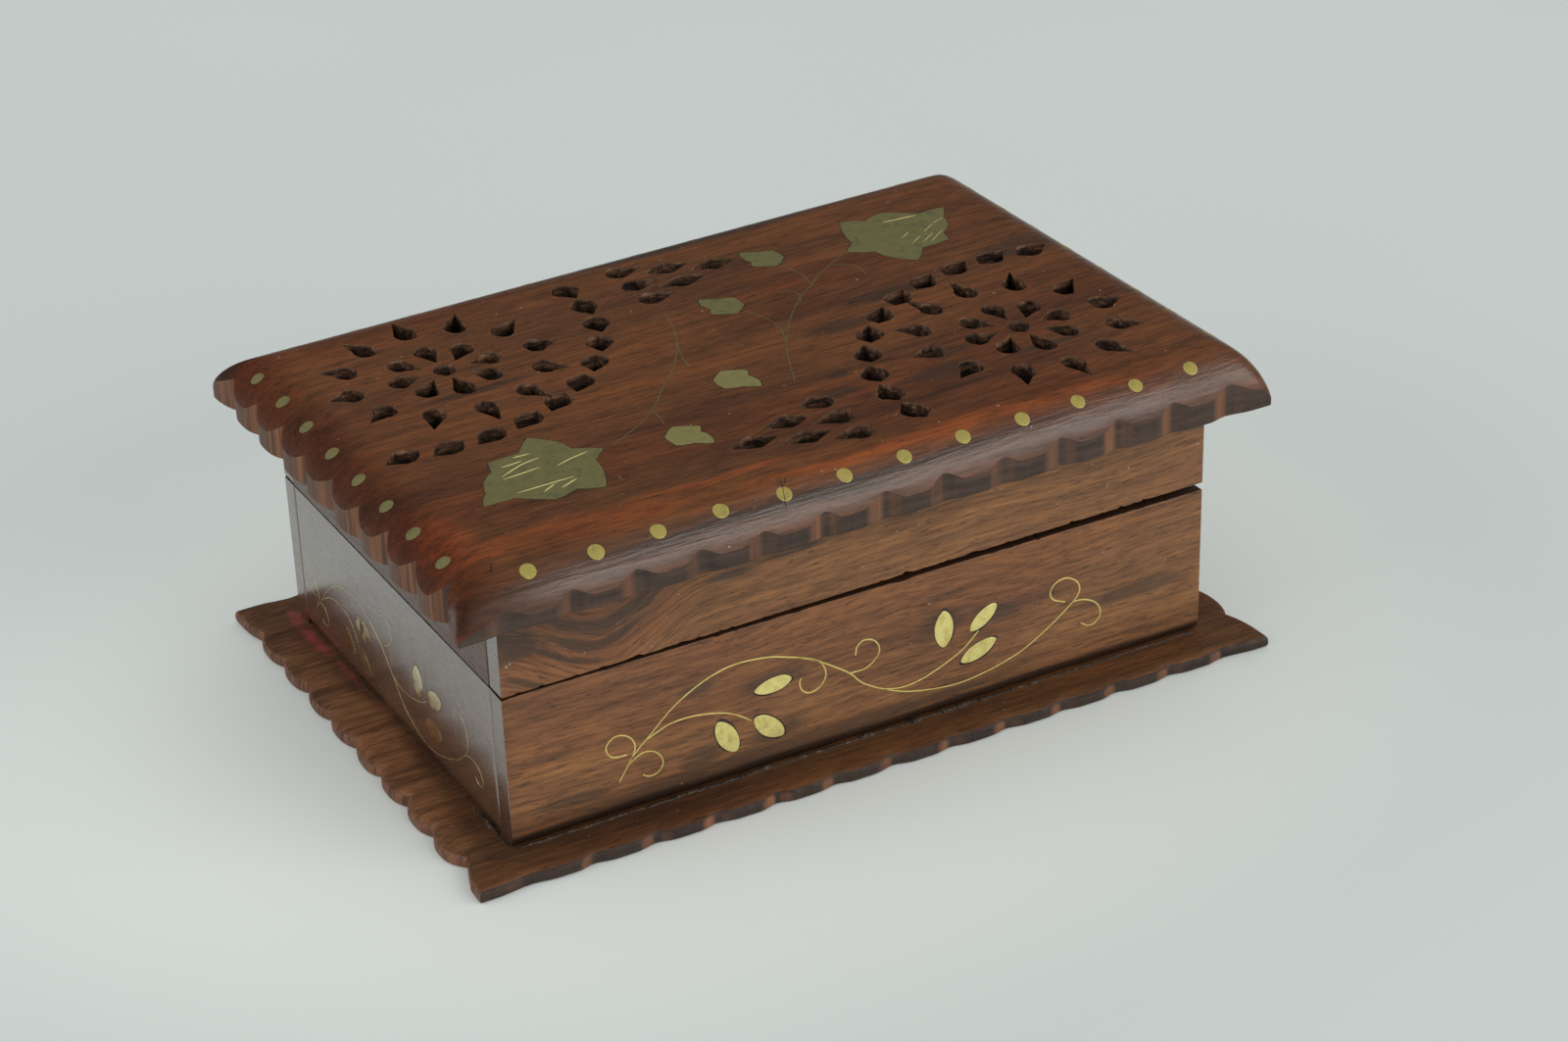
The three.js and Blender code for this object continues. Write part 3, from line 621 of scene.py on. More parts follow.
def scalloped_side(half, lobes, end_share, seed, deepest, roundness, last_cut=1.0):
    pitch = 2 * half / (lobes - 2 + 2 * end_share)
    points = []
    for lobe in range(lobes):
        start = -half if lobe == 0 else (lobe - lobes / 2) * pitch
        end = half if lobe == lobes - 1 else (lobe + 1 - lobes / 2) * pitch
        for step in range(LOBE_POINTS):
            share = (1 - math.cos(math.pi * step / LOBE_POINTS)) / 2
            near = lobe if share > 0.5 else lobe - 1
            depth = deepest * (1 + wobble(near * 1.37, seed, 0.35))
            if near == lobes - 2:
                depth *= last_cut
            bent = share + wobble(lobe * 2.11, seed + 1, 0.14) * math.sin(math.pi * share) ** 2
            points.append((between(start, end, share), lobe_inset(bent, lobe, lobes, depth, roundness)))
    return points


# The whole edge anticlockwise: places on the plain rectangle, with the way inwards from each
def scalloped_edge(half, end_shares, seed):
    hx, hy = half
    long, short = LOBES
    flat, deep = SCALLOP_DEPTHS
    front = [(a, -hy, 0, i) for a, i in scalloped_side(hx, long, end_shares[0], seed, flat, 0)]
    right = [(hx, a, -i, 0) for a, i in scalloped_side(hy, short, end_shares[1], seed + 1, deep, 0.8)]
    back = [(-a, hy, 0, -i) for a, i in scalloped_side(hx, long, end_shares[0], seed + 2, flat, 0)]
    left = [(-hx, -a, i, 0) for a, i in scalloped_side(hy, short, end_shares[1], seed + 3, deep, 0.8, 1.7)]
    return front + right + back + left


def edge_ring(edge, half, distance, reach):
    fade = max(1 - distance / reach, 0)
    return [
        (x * (1 - distance / half[0]) + ix * fade, y * (1 - distance / half[1]) + iy * fade)
        for x, y, ix, iy in edge
    ]


def base_board(materials):
    edge = scalloped_edge(BASE_HALF, BASE_SHARES, 3)
    levels = [(1.2, 0), (0.5, 0.02), (0.12, 0.3), (0, 0.8), (0, 1.7), (0.12, 2.3), (0.45, 2.8), (0.95, 3.15),
              (1.7, 3.36), (2.8, 3.47), (4.5, 3.5)]
    rings = []
    for distance, z in levels:
        ring = []
        for i, (x, y) in enumerate(edge_ring(edge, BASE_HALF, distance, 60)):
            worn = wobble(i * 0.09, 11, 0.22) if z > 3 else 0
            ring.append((x, y, min(z + worn * min(distance, 0.6), BASE_TOP)))
        rings.append(ring)
    shape = loft(rings)
    kinds = [int(0 < i // len(edge) < 6) for i in range(len(shape[1]))]
    made = add_piece("base_board_wood", shape, materials, "base", "base_wood", "base_board", kinds=kinds)
    weigh_normals(made)


# Board sections: u runs inwards from the outside face, v runs up. Corners are rounded one by one, in the
# order outer foot, inner foot, inner top, outer top.
def board_section(low, high, rounds, inset):
    corners = [(0, low, 180), (WALL, low, 270), (WALL, high, 0), (0, high, 90)]
    steps = 5
    section = []
    for (u, v, start), radius in zip(corners, rounds):
        du = 1 if u == 0 else -1
        dv = 1 if v == low else -1
        cu, cv = u + du * radius, v + dv * radius
        r = max(radius - inset, 0.01)
        shift = inset * 0.7 if radius <= inset else 0
        for k in range(steps + 1):
            angle = math.radians(start + 90 * k / steps)
            section.append((cu + r * math.cos(angle) + du * shift, cv + r * math.sin(angle) + dv * shift))
    return section


def nibble(place, seed, least, size):
    return max(noise.noise(Vector((place, seed, 2.3))) - least, 0) * size


# A wall, or a board of the lid's frame, which follows the seam's gap. Its edge at the seam is ragged.
def board(node, side, low, high, rounds, materials, body, seed):
    in_lid = body == "lid"
    half = HALF_LENGTH if side in ("front", "back") else HALF_DEPTH - WALL
    ease = 0.4
    count = int(2 * (half - ease) / 0.9)
    stations = [(-half, ease), (-half + 0.12, 0.15), (-half + ease, 0)]
    stations += [(between(-half + ease, half - ease, i / count), 0) for i in range(1, count)]
    stations += [(half - ease, 0), (half - 0.12, 0.15), (half, ease)]
    rings = []
    for across, inset in stations:
        bite = nibble(across * 0.23, seed, 0.3, 1.0) + nibble(across * 0.9, seed + 5, 0.2, 0.7)
        bite *= 1 if side == "front" else 0.3
        ring = []
        for u, v in board_section(low, high, rounds, inset):
            near = bite if abs(v - SEAM) < 0.9 else 0
            outer = u < 1
            up = v + near * (1 if outer else 0.3) * (1 if in_lid else -1)
            x, y, z = on_face(side, across, up, -u - (near * 0.5 if outer else 0))
            ring.append((x, y, z + (seam_gap(x) if in_lid else 0)))
        rings.append(ring)
    per_ring = len(rings[0])
    first, last = (2, 1) if side == "back" else (1, 2)
    kinds = [first] * per_ring + [0] * per_ring * (len(rings) - 3) + [last] * per_ring + [first, last]
    if len(materials) == 1:
        kinds = None
    made = add_piece(f"{node}_board", loft(rings), materials, body, "body_wood", node, kinds=kinds)
    weigh_normals(made)


def body_boards(look):
    for i, side in enumerate(("front", "back", "left", "right")):
        ends = [look["left_ends"], look["right_ends"]] if side in ("front", "back") else []
        crisp = 0.3 if side == "front" else 0.12
        board(f"{side}_wall", side, BASE_TOP, SEAM, (FOOT_ROUND, 0.1, 0.4, crisp),
              [look[f"{side}_wall"], *ends], "base", i * 3.0 + 0.5)
        board(f"lid_{side}_rim", side, SEAM, SEAM + RIM_HEIGHT, (crisp, 0.4, 0.05, 0.05),
              [look[f"{side}_rim"], *ends], "lid", i * 3.0 + 2.0)


# Openings: a drilled round, drawn out to a saw-cut point at one end or at both
def pointed_hole(width, tip, tail):
    radius = width / 2
    both = tip > radius and tail > radius
    notch = min(math.radians(60 if both else 43), math.acos(min(radius / max(tip, tail), 1)))
    first = notch if tip > radius else 0
    last = math.pi - notch if tail > radius else math.pi
    steps = 11
    arc = [between(first, last, i / steps) for i in range(steps + 1)]
    upper = [(radius * math.cos(a), radius * math.sin(a)) for a in arc]
    if tip > radius:
        side = [(between(tip, upper[0][0], k / 4), between(0, upper[0][1], k / 4)) for k in range(4)]
        upper = side + upper
    if tail > radius:
        end = upper[-1]
        upper = upper + [(between(end[0], -tail, k / 4), between(end[1], 0, k / 4)) for k in range(1, 5)]
    lower = [(x, -y) for x, y in reversed(upper[1:-1])]
    return list(reversed(upper + lower))


# Shares of the board's thickness, with how far the opening flares there
HOLE_LEVELS = [(-0.12, 0.25), (0.015, 0.2), (0.05, 0), (0.25, 0), (0.45, 0), (0.62, 0), (0.8, 0), (0.93, 0),
               (0.985, 0.02), (1.01, 0.06), (1.1, 0.06)]


def hole_cutter(hole):
    x, y, degrees, width, tip, tail, tall = hole
    turn = Matrix.Rotation(math.radians(degrees), 2)
    worn_width, worn_tip, worn_tail = (0.6, 0.5, 0.1) if tail else (1.1, 0.9, 0)
    outline = pointed_hole(width + worn_width, tip + worn_tip, tail + worn_tail)
    rings = []
    for share, flare in HOLE_LEVELS:
        ring = []
        for point in grown(outline, flare) if flare else outline:
            spin = turn @ Vector(point)
            here = Vector((x + spin.x, y + spin.y, share * 14))
            torn = noise.noise(here * 0.9) * 0.45 + noise.noise(here * 2.7) * 0.22
            grow = 1 + torn / max(width / 2, spin.length) * (0.5 if flare else 1)
            px, py = x + spin.x * grow, y + spin.y * grow * tall
            ring.append((px, py, between(lid_underside(px), lid_top(px), share)))
        rings.append(ring)
    return loft(rings)


def around(centre, radius, degrees):
    angle = math.radians(degrees)
    return centre[0] + radius * math.cos(angle), centre[1] + radius * math.sin(angle)


ROSETTE = (60.2, -28.1)
ARC_CENTRE = (ROSETTE[0] + 11.8, ROSETTE[1] - 17.5)
WEDGE = (ROSETTE[0] - 57.2, ROSETTE[1] - 16.2)
WEDGE_STEP = (10.8, 8.9)


# One half's rosette, arc and wedge. Each opening has a place, a turn, a width, how far its two ends reach,
# and how much it is drawn out along y.
def half_openings():
    holes = [(*ROSETTE, 0, 4.6, 2.3, 2.3, 1.2)]
    for i in range(8):
        holes.append((*around(ROSETTE, 11.3, 45 * i), 45 * i + 180, 4.3, 4.6, 0, 1.25))
    for i in range(12):
        holes.append((*around(ROSETTE, 23, 30 * i), 30 * i, 4.4, 5.2, 0, 1.28))
    for i in range(11):
        share = i / 10
        place = around(ARC_CENTRE, 54, between(75.5, 186, share))
        holes.append((*place, between(14, 96, share), 6.2, 5, 4, 1))
    for column, tail in enumerate((0, 6.1, 6.1)):
        rows = 3 - column
        for row in range(rows):
            x = WEDGE[0] - column * WEDGE_STEP[0]
            y = WEDGE[1] + (row - (rows - 1) / 2) * WEDGE_STEP[1]
            holes.append((x, y, 180, 5.5, 6.1, tail, 1))
    return holes


def lid_board(materials):
    edge = scalloped_edge(LID_HALF, LID_SHARES, 7)
    rings = []
    for distance, rise in [(1.5, 0), (0.3, 0), (0, 0.3)]:
        ring = edge_ring(edge, LID_HALF, distance, NOSE_REACH)
        rings.append([(x, y, lid_underside(x) + rise) for x, y in ring])
    for share in (0, 0.03, 0.07, 0.12, 0.18, 0.25, 0.32, 0.4, 0.49, 0.59, 0.69, 0.8, 0.9, 1):
        ring = edge_ring(edge, LID_HALF, share * NOSE_REACH, NOSE_REACH)
        rings.append([(x, y, lid_surface(x, y) - (0.12 if share == 0 else 0)) for x, y in ring])
    shape = loft(rings)
    kinds = [int(1 <= i // len(edge) <= 2) for i in range(len(shape[1]))]
    made = add_piece("lid_board_wood", shape, materials, "lid", "lid_wood", "lid_board", kinds=kinds)
    half = half_openings()
    holes = half + [(-x, -y, degrees + 180, *sizes) for x, y, degrees, *sizes in half]
    subtract(made, "openings", merged([hole_cutter(hole) for hole in holes]), materials[2])
    shade(made.data, 12)
    weigh_normals(made)


# The outline drawn in towards its middle
def drawn_in(outline, distance):
    cx, cy = (sum(p[i] for p in outline) / len(outline) for i in (0, 1))
    share = 1 - distance * len(outline) / sum(math.dist(p, (cx, cy)) for p in outline)
    return [(cx + (x - cx) * share, cy + (y - cy) * share) for x, y in outline]


# Inlay plates with eased edges, set a hair proud
def plate(outline, place, depth, proud, ease=0.1):
    rings = [[place(x, y, -depth) for x, y in outline], [place(x, y, proud - ease * 0.4) for x, y in outline]]
    rings.append([place(x, y, proud - ease * 0.1) for x, y in drawn_in(outline, ease * 0.45)])
    rings.append([place(x, y, proud) for x, y in drawn_in(outline, ease * 1.2)])
    return loft(rings)


# A strip along a line, narrower toward its ends by its taper
def strip(line, width, place, depth, proud, taper=0.0):
    rings = []
    for i, point in enumerate(line):
        before = Vector(line[max(i - 1, 0)])
        after = Vector(line[min(i + 1, len(line) - 1)])
        ahead = (after - before).normalized()
        side = Vector((-ahead.y, ahead.x))
        share = i / (len(line) - 1)
        near_end = min(share, 1 - share) * 2
        full = between(1, min(near_end * 1.6 + 0.15, 1), taper)
        half = width / 2 * (full + wobble(i * 0.37, width * 9, 0.1))
        crown = half * 0.55
        profile = [(-half, -depth), (-half, 0), (-crown, proud), (crown, proud), (half, 0), (half, -depth)]
        rings.append([place(point[0] + side.x * a, point[1] + side.y * a, out) for a, out in profile])
    return loft(rings)


# The inlay's points are shares of the motif's half length and height. A leaf has a place, a turn, and its
# length and width as shares of the motif's leaf.
WALL_LEAVES = [
    (-0.56, 0.45, -62, 1.01, 0.49), (-0.4, 0.43, -41, 0.99, 0.47), (-0.38, 0.74, 4, 0.97, 0.39),
    (0.29, 0.76, 90, 0.97, 0.51), (0.45, 0.76, 37, 0.89, 0.38), (0.43, 0.51, 20, 1.03, 0.41),
]
WALL_VINE = [
    (-0.966, 0.362), (-0.942, 0.436), (-0.908, 0.536), (-0.84, 0.659), (-0.751, 0.813), (-0.64, 0.931),
    (-0.531, 0.984), (-0.411, 0.969), (-0.324, 0.92), (-0.236, 0.852), (-0.17, 0.77), (-0.086, 0.648),
    (-0.035, 0.539), (0.041, 0.444), (0.132, 0.363), (0.237, 0.315), (0.356, 0.292), (0.49, 0.327),
    (0.611, 0.397), (0.719, 0.515), (0.787, 0.609), (0.827, 0.673), (0.848, 0.741), (0.833, 0.818),
    (0.79, 0.866), (0.745, 0.848), (0.725, 0.787), (0.74, 0.722), (0.786, 0.679),
]
WALL_BRANCHES = [
    [(-0.92, 0.5), (-0.902, 0.587), (-0.91, 0.653), (-0.937, 0.703), (-0.975, 0.716), (-1.005, 0.669),
     (-1.004, 0.608), (-0.979, 0.562), (-0.934, 0.553)],
    [(-0.93, 0.47), (-0.886, 0.525), (-0.844, 0.523), (-0.812, 0.47), (-0.803, 0.398), (-0.825, 0.343),
     (-0.859, 0.337), (-0.88, 0.365)],
    [(-0.86, 0.62), (-0.775, 0.684), (-0.689, 0.691), (-0.592, 0.655), (-0.528, 0.603), (-0.469, 0.52)],
    [(-0.29, 0.895), (-0.209, 0.821), (-0.182, 0.755), (-0.177, 0.684), (-0.197, 0.618), (-0.235, 0.589),
     (-0.266, 0.619), (-0.278, 0.68), (-0.272, 0.726)],
    [(-0.085, 0.645), (-0.021, 0.646), (0.024, 0.708), (0.034, 0.776), (0.013, 0.843), (-0.026, 0.868),
     (-0.053, 0.834), (-0.059, 0.772)],
    [(0.05, 0.434), (0.12, 0.404), (0.198, 0.418), (0.29, 0.48), (0.37, 0.559), (0.43, 0.665)],
    [(0.82, 0.66), (0.869, 0.648), (0.917, 0.593), (0.937, 0.511), (0.922, 0.445), (0.887, 0.427),
     (0.853, 0.47)],
]
SIDE_LEAVES = [
    (-0.54, 0.45, -58, 0.97, 0.54), (-0.365, 0.395, -39, 1.08, 0.54), (-0.355, 0.745, -8, 1.06, 0.56),
    (0.272, 0.82, 91, 0.97, 0.6), (0.447, 0.805, 24, 0.97, 0.52), (0.412, 0.478, 5, 1.07, 0.52),
]
SIDE_VINE = [
    (-0.966, 0.362), (-0.942, 0.436), (-0.9, 0.51), (-0.855, 0.6), (-0.791, 0.723), (-0.65, 0.915),
    (-0.49, 0.985), (-0.342, 0.972), (-0.232, 0.892), (-0.147, 0.8), (-0.08, 0.69), (-0.01, 0.555),
    (0.045, 0.45), (0.107, 0.36), (0.204, 0.288), (0.336, 0.248), (0.476, 0.29), (0.641, 0.42),
    (0.742, 0.56), (0.79, 0.69), (0.792, 0.83), (0.752, 0.93), (0.69, 0.95), (0.65, 0.9),
]
SIDE_BRANCHES = [
    *WALL_BRANCHES[:2],
    [(-0.87, 0.57), (-0.769, 0.686), (-0.662, 0.743), (-0.553, 0.725), (-0.48, 0.65), (-0.437, 0.53)],
    [(-0.16, 0.82), (-0.089, 0.832), (-0.02, 0.917), (-0.003, 1.0), (-0.03, 1.09), (-0.085, 1.125),
     (-0.135, 1.09)],
    [(-0.035, 0.605), (0.071, 0.552), (0.2, 0.584), (0.3, 0.645), (0.365, 0.725)],
    [(0.755, 0.58), (0.83, 0.62), (0.9, 0.585), (0.93, 0.51), (0.92, 0.445), (0.885, 0.427), (0.853, 0.47)],
]
# Half length, height and leaf
FRONT_MOTIF = 66, 33, 9.8, WALL_LEAVES, [WALL_VINE, *WALL_BRANCHES]
SIDE_MOTIF = 50.8, 26.5, 8.8, SIDE_LEAVES, [SIDE_VINE, *SIDE_BRANCHES]
MOTIFS = {"front": FRONT_MOTIF, "left": SIDE_MOTIF, "right": SIDE_MOTIF}


def strands(lines, width, height, steps):
    return [spline([(x * width, y * height) for x, y in line], steps) for line in lines]


def pointed_oval(length, width):
    steps = 14
    upper = []
    for i in range(steps):
        angle = i / steps * math.pi
        upper.append((math.cos(angle) * length / 2, math.sin(angle) ** 1.3 * width / 2))
    return upper + [(-x, -y) for x, y in upper]


def roughened(outline, seeds, sizes):
    x_seed, y_seed = seeds
    x_size, y_size = sizes
    return [
        (x + wobble(k * 0.2, x_seed, x_size), y + wobble(k * 0.2, y_seed, y_size))
        for k, (x, y) in enumerate(outline)
    ]


# The pocket's dark filler shows round each leaf, wider on one side
def filler_outline(outline, seed, size):
    shift = wobble(seed, 1, 0.35 * size)
    result = []
    for i, (x, y) in enumerate(grown(outline, 0.32 * size)):
        far = 1 + wobble(i * 0.31, seed, 0.16 * size)
        result.append((x * far + wobble(i * 0.2, seed + 2, 0.25 * size), y * far + shift))
    return result


def wall_inlay(side, metal, wire, dark):
    half, top, leaf, leaves, lines = MOTIFS[side]
    front = side == "front"

    def place(x, y, out):
        return on_face(side, x, y, out)

    def turned(outline, across, up, degrees):
        centre = Vector((across * half, up * top))
        spin = Matrix.Rotation(math.radians(degrees), 2)
        return [tuple(centre + spin @ Vector(p)) for p in outline]

    for i, (*lie, length, width) in enumerate(leaves):
        name = f"{side}_leaf_{i + 1}"
        outline = roughened(pointed_oval(length * leaf, width * leaf), (i, i + 9), (0.1, 0.16))
        part = plate(turned(outline, *lie), place, 0.6, PROUD + 0.02, 0.1 if front else 0.03)
        weigh_normals(add_piece(f"{name}_brass", part, [metal], "base", "wall_brass", name))
        outline = filler_outline(outline, i * 2.3 + len(side), 1 if front else 0.4)
        part = plate(turned(outline, *lie), place, 0.5, 0.012, 0.02)
        add_piece(f"{name}_filler", part, [dark], "base", "body_wood")
    wire_width = WIRE if front else WIRE * 0.65
    wires = [strip(line, wire_width, place, 0.3, PROUD) for line in strands(lines, half, top, 8)]
    add_piece(f"{side}_vine_wire", merged(wires), [wire], "base", "wall_brass", f"{side}_vine")


# Old glue and dust along the feet of the walls, with lumps: a place along the wall, a height and a width
RESIDUE = {
    "front": [(-44, 0.3, 5), (-30, 0.2, 3), (-1, 0.3, 3), (11, 0.75, 0.9), (22, 0.55, 4), (28, 0.3, 1.5)],
    "left": [(50, 0.5, 6)],
}
RESIDUE_DOME = [(-0.9, -0.06), (-0.75, 0.45), (-0.3, 0.9), (0.25, 0.95), (0.75, 0.5), (0.95, -0.06)]


def wall_residue(material):
    for side, lumps in RESIDUE.items():
        half = HALF_LENGTH - 2 if side == "front" else HALF_DEPTH - 2
        least = 0.3 if side == "front" else 0.05
        count = int(half * 5)
        rings = []
        for i in range(count + 1):
            across = between(-half, half, i / count)
            rough = noise.noise(Vector((across * 0.35, 4, 1)))
            rough += 0.7 * noise.noise(Vector((across * 1.7, 4, 6)))
            lump = sum(tall * math.exp(-((across - at) / width) ** 2) for at, tall, width in lumps)
            size = max(least + max(rough, -0.4) * 0.3 + lump * (0.7 + rough), 0.08)
            out = 0.15 + wobble(across * 0.4, 7, 0.35)
            rings.append([
                on_face(side, across, BASE_TOP + size * v, out + size * u * 1.2) for u, v in RESIDUE_DOME
            ])
        add_piece(f"{side}_wall_residue", loft(rings), [material], "base", "base_wood")


# Outlines of the lid's leaves, as shares of their size
LOBED_LEAF = [
    (-0.17, -0.54), (-0.31, -0.37), (-0.34, -0.24), (-0.51, -0.13), (-0.4, -0.02), (-0.37, 0.16),
    (-0.29, 0.35), (-0.13, 0.27), (0.04, 0.32), (0.25, 0.16), (0.46, 0.15), (0.37, 0), (0.32, -0.14),
    (0.22, -0.24), (0.19, -0.36), (-0.03, -0.37),
]
IVY_LEAF = [
    (-0.28, 0.5), (0.02, 0.32), (0.35, 0.21), (0.38, -0.2), (0.07, -0.5), (-0.37, -0.25), (-0.28, -0.03),
    (-0.35, 0.24),
]
# Places and vines are shares of the lid's half length and half depth. Engraved cuts are in millimetres.
LID_LEAVES = {
    "lid_leaf_large_1": (-0.636, -0.466, 34.5, LOBED_LEAF),
    "lid_leaf_large_2": (0.649, 0.514, 34.5, LOBED_LEAF),
    "lid_leaf_small_1": (-0.287, -0.481, 12, IVY_LEAF),
    "lid_leaf_small_2": (-0.071, -0.215, 12, IVY_LEAF),
    "lid_leaf_small_3": (0.089, 0.314, 12, IVY_LEAF),
    "lid_leaf_small_4": (0.295, 0.577, 12, IVY_LEAF),
}
WORN_LEAVES = ("lid_leaf_small_1", "lid_leaf_small_2")
LID_VINES = {
    "lid_vine_1": [
        [(-0.04, 0.376), (-0.077, 0.187), (-0.146, 0.007), (-0.224, -0.131), (-0.297, -0.258),
         (-0.371, -0.34), (-0.44, -0.4)],
        [(-0.293, -0.252), (-0.297, -0.31), (-0.303, -0.366)],
        [(-0.095, 0.127), (-0.114, 0.045), (-0.124, -0.028)],
    ],
    "lid_vine_2": [
        [(0.032, -0.34), (0.096, -0.118), (0.172, 0.065), (0.257, 0.215), (0.318, 0.287), (0.364, 0.349),
         (0.458, 0.44)],
        [(0.315, 0.283), (0.325, 0.37), (0.315, 0.466)],
        [(0.108, -0.09), (0.132, 0.005), (0.142, 0.088), (0.134, 0.166), (0.118, 0.235)],
        [(0.41, 0.385), (0.438, 0.365), (0.455, 0.317), (0.45, 0.25)],
        [(0.232, 0.297), (0.258, 0.28), (0.264, 0.237), (0.25, 0.19)],
    ],
}
ENGRAVED = [
    [(-66, -20.9), (-62, -21.2)], [(-70, -23.7), (-65, -23.4)], [(-71.8, -27.8), (-66, -25), (-61, -24)],
    [(-72, -29), (-63, -28.3)], [(-59.5, -29.7), (-55, -28.3), (-51, -27.5)], [(-72, -36.3), (-58.5, -36.3)],
    [(-67, -39), (-63.5, -37)], [(-63, -39.5), (-58.5, -37.5)], [(65, 41.6), (74, 40.6)],
]
FAINT_CUTS = [
    [(64.5, 26.5), (68.4, 29.3)], [(66.9, 25.5), (72.1, 29.3)], [(68.6, 24.6), (75.1, 29.5)],
    [(64, 30.6), (67.2, 32.9)], [(75, 34.1), (78.5, 35.5)], [(70.5, 31), (74.5, 33.6)],
]


# Straight cuts between hand-filed corners
def filed_outline(shares, size, seed):
    corners = [(x * size, y * size) for x, y in shares]
    steps = 5
    result = []
    for i, (a, b) in enumerate(zip(corners, corners[1:] + corners[:1])):
        length = math.dist(a, b)
        for k in range(steps):
            share = k / steps
            bow = math.sin(math.pi * share) * 0.22
            x, y = between(a[0], b[0], share), between(a[1], b[1], share)
            result.append((
                x + (b[1] - a[1]) / length * -bow + wobble(i * steps + k, seed, 0.16),
                y + (b[0] - a[0]) / length * bow + wobble(i * steps + k, seed + 3, 0.16),
            ))
    return result


def lid_inlay(metal, worn, engraved, vine, dark):
    for i, (name, (across, up, size, shares)) in enumerate(LID_LEAVES.items()):
        cx, cy = across * LID_HALF[0], up * LID_HALF[1]
        outline = [(cx + x, cy + y) for x, y in filed_outline(shares, math.copysign(size, across), i)]
        look = worn if name in WORN_LEAVES else metal
        part = plate(outline, on_lid, 0.6, PROUD)
        weigh_normals(add_piece(f"{name}_brass", part, [look], "lid", "lid_brass", name))
        halo = roughened(grown(outline, 0.16), (i, i + 4), (0.15, 0.15))
        add_piece(f"{name}_filler", plate(halo, on_lid, 0.5, 0.01, 0.02), [dark], "lid", "lid_wood")
    for name, lines in LID_VINES.items():
        wires = [strip(line, WIRE * 0.75, on_lid, 0.3, PROUD * 0.6) for line in strands(lines, *LID_HALF, 14)]
        add_piece(f"{name}_wire", merged(wires), [vine], "lid", "lid_brass", name)
    cuts = []
    for lines, width in ((ENGRAVED, 0.42), (FAINT_CUTS, 0.16)):
        cuts += [strip(spline(line, 10), width, on_lid, 0.0, PROUD + 0.02, 1.0) for line in lines]
    add_piece("lid_leaf_engraving", merged(cuts), [engraved], "lid", "lid_brass")


# Brass pins' ends along the rounded edge
def edge_dot(x, y, radius):
    step = 0.05
    slope_x = (lid_surface(x + step, y) - lid_surface(x - step, y)) / (2 * step)
    slope_y = (lid_surface(x, y + step) - lid_surface(x, y - step)) / (2 * step)
    normal = Vector((-slope_x, -slope_y, 1)).normalized()
    side = normal.cross(Vector((0, 0, 1))).normalized()
    up = side.cross(normal)
    centre = Vector((x, y, lid_surface(x, y)))
    rings = []
    for share, proud in ((1.0, -0.5), (1.0, 0.02), (0.95, 0.05), (0.85, 0.06), (0.5, 0.065), (0.12, 0.065)):
        ring = []
        for k in range(32):
            angle = 2 * math.pi * k / 32
            reach = radius * share * (1 + wobble(k * 0.2, x + y, 0.05))
            flat = centre + side * math.cos(angle) * reach + up * math.sin(angle) * reach
            on = Vector((flat.x, flat.y, lid_surface(flat.x, flat.y)))
            ring.append(tuple(on + normal * proud))
        rings.append(ring)
    return loft(rings)


def edge_dots(metal, green):
    hx, hy = (half - DOT_INSET for half in LID_HALF)
    long = [sign * at for at in (7.5, 22.6, 37.7, 52.8, 67.9, 83) for sign in (-1, 1)]
    short = [sign * at for at in (7.5, 22.4, 37.3, 52.3) for sign in (-1, 1)]
    rows = {
        "front": [(at, -hy) for at in long],
        "back": [(at, hy) for at in long],
        "left": [(-hx, at) for at in short],
        "right": [(hx, at) for at in short],
    }
    for side, places in rows.items():
        dots = [
            edge_dot(x + wobble(i, 3, 0.5), y + wobble(i, 5, 0.5), DOT_RADIUS + wobble(i, 8, 0.15))
            for i, (x, y) in enumerate(places)
        ]
        look = green if side == "left" else metal
        add_piece(f"lid_{side}_dots", merged(dots), [look], "lid", "lid_brass")


# Hairline scratches across the rounded edge
SCRATCHES = [
    [(-21.4, -60.9), (-21.9, -62.3), (-22.3, -63.6), (-22.8, -65), (-23.3, -66.4), (-23.6, -67.6)],
    [(-20.4, -61.3), (-20.8, -62.1), (-21.6, -62.8)], [(-22.4, -61.4), (-22.2, -62.2), (-22, -63)],
    [(-90.5, -62.5), (-89.9, -61.2), (-89.6, -60.2)],
]


def scratches(material):
    def place(x, y, out):
        return (x, y, lid_surface(x, y) + out)

    strips = [strip(spline(line, 4), 0.28, place, 0.02, 0.09, 1.0) for line in SCRATCHES]
    add_piece("lid_scratches", merged(strips), [material], "lid", "lid_wood")


# Cloth: a thin sheet with a soft surface and rolled edges
def cloth_sheet(width, length, place, seed):
    nx, ny = int(width / 2), int(length / 2)
    rings = []
    for i in range(nx + 1):
        a = between(-width / 2, width / 2, i / nx)
        row = [between(-length / 2, length / 2, j / ny) for j in range(ny + 1)]
        ring = [place(a, b, 0.02) for b in row]
        for b in reversed(row):
            rim = min(width / 2 - abs(a), length / 2 - abs(b))
            soft = 0.06 * noise.noise(Vector((a * 0.12, b * 0.12, seed))) - 0.18 * math.exp(-rim * 1.2)
            ring.append(place(a, b, FELT + soft))
        rings.append(ring)
    return loft(rings)


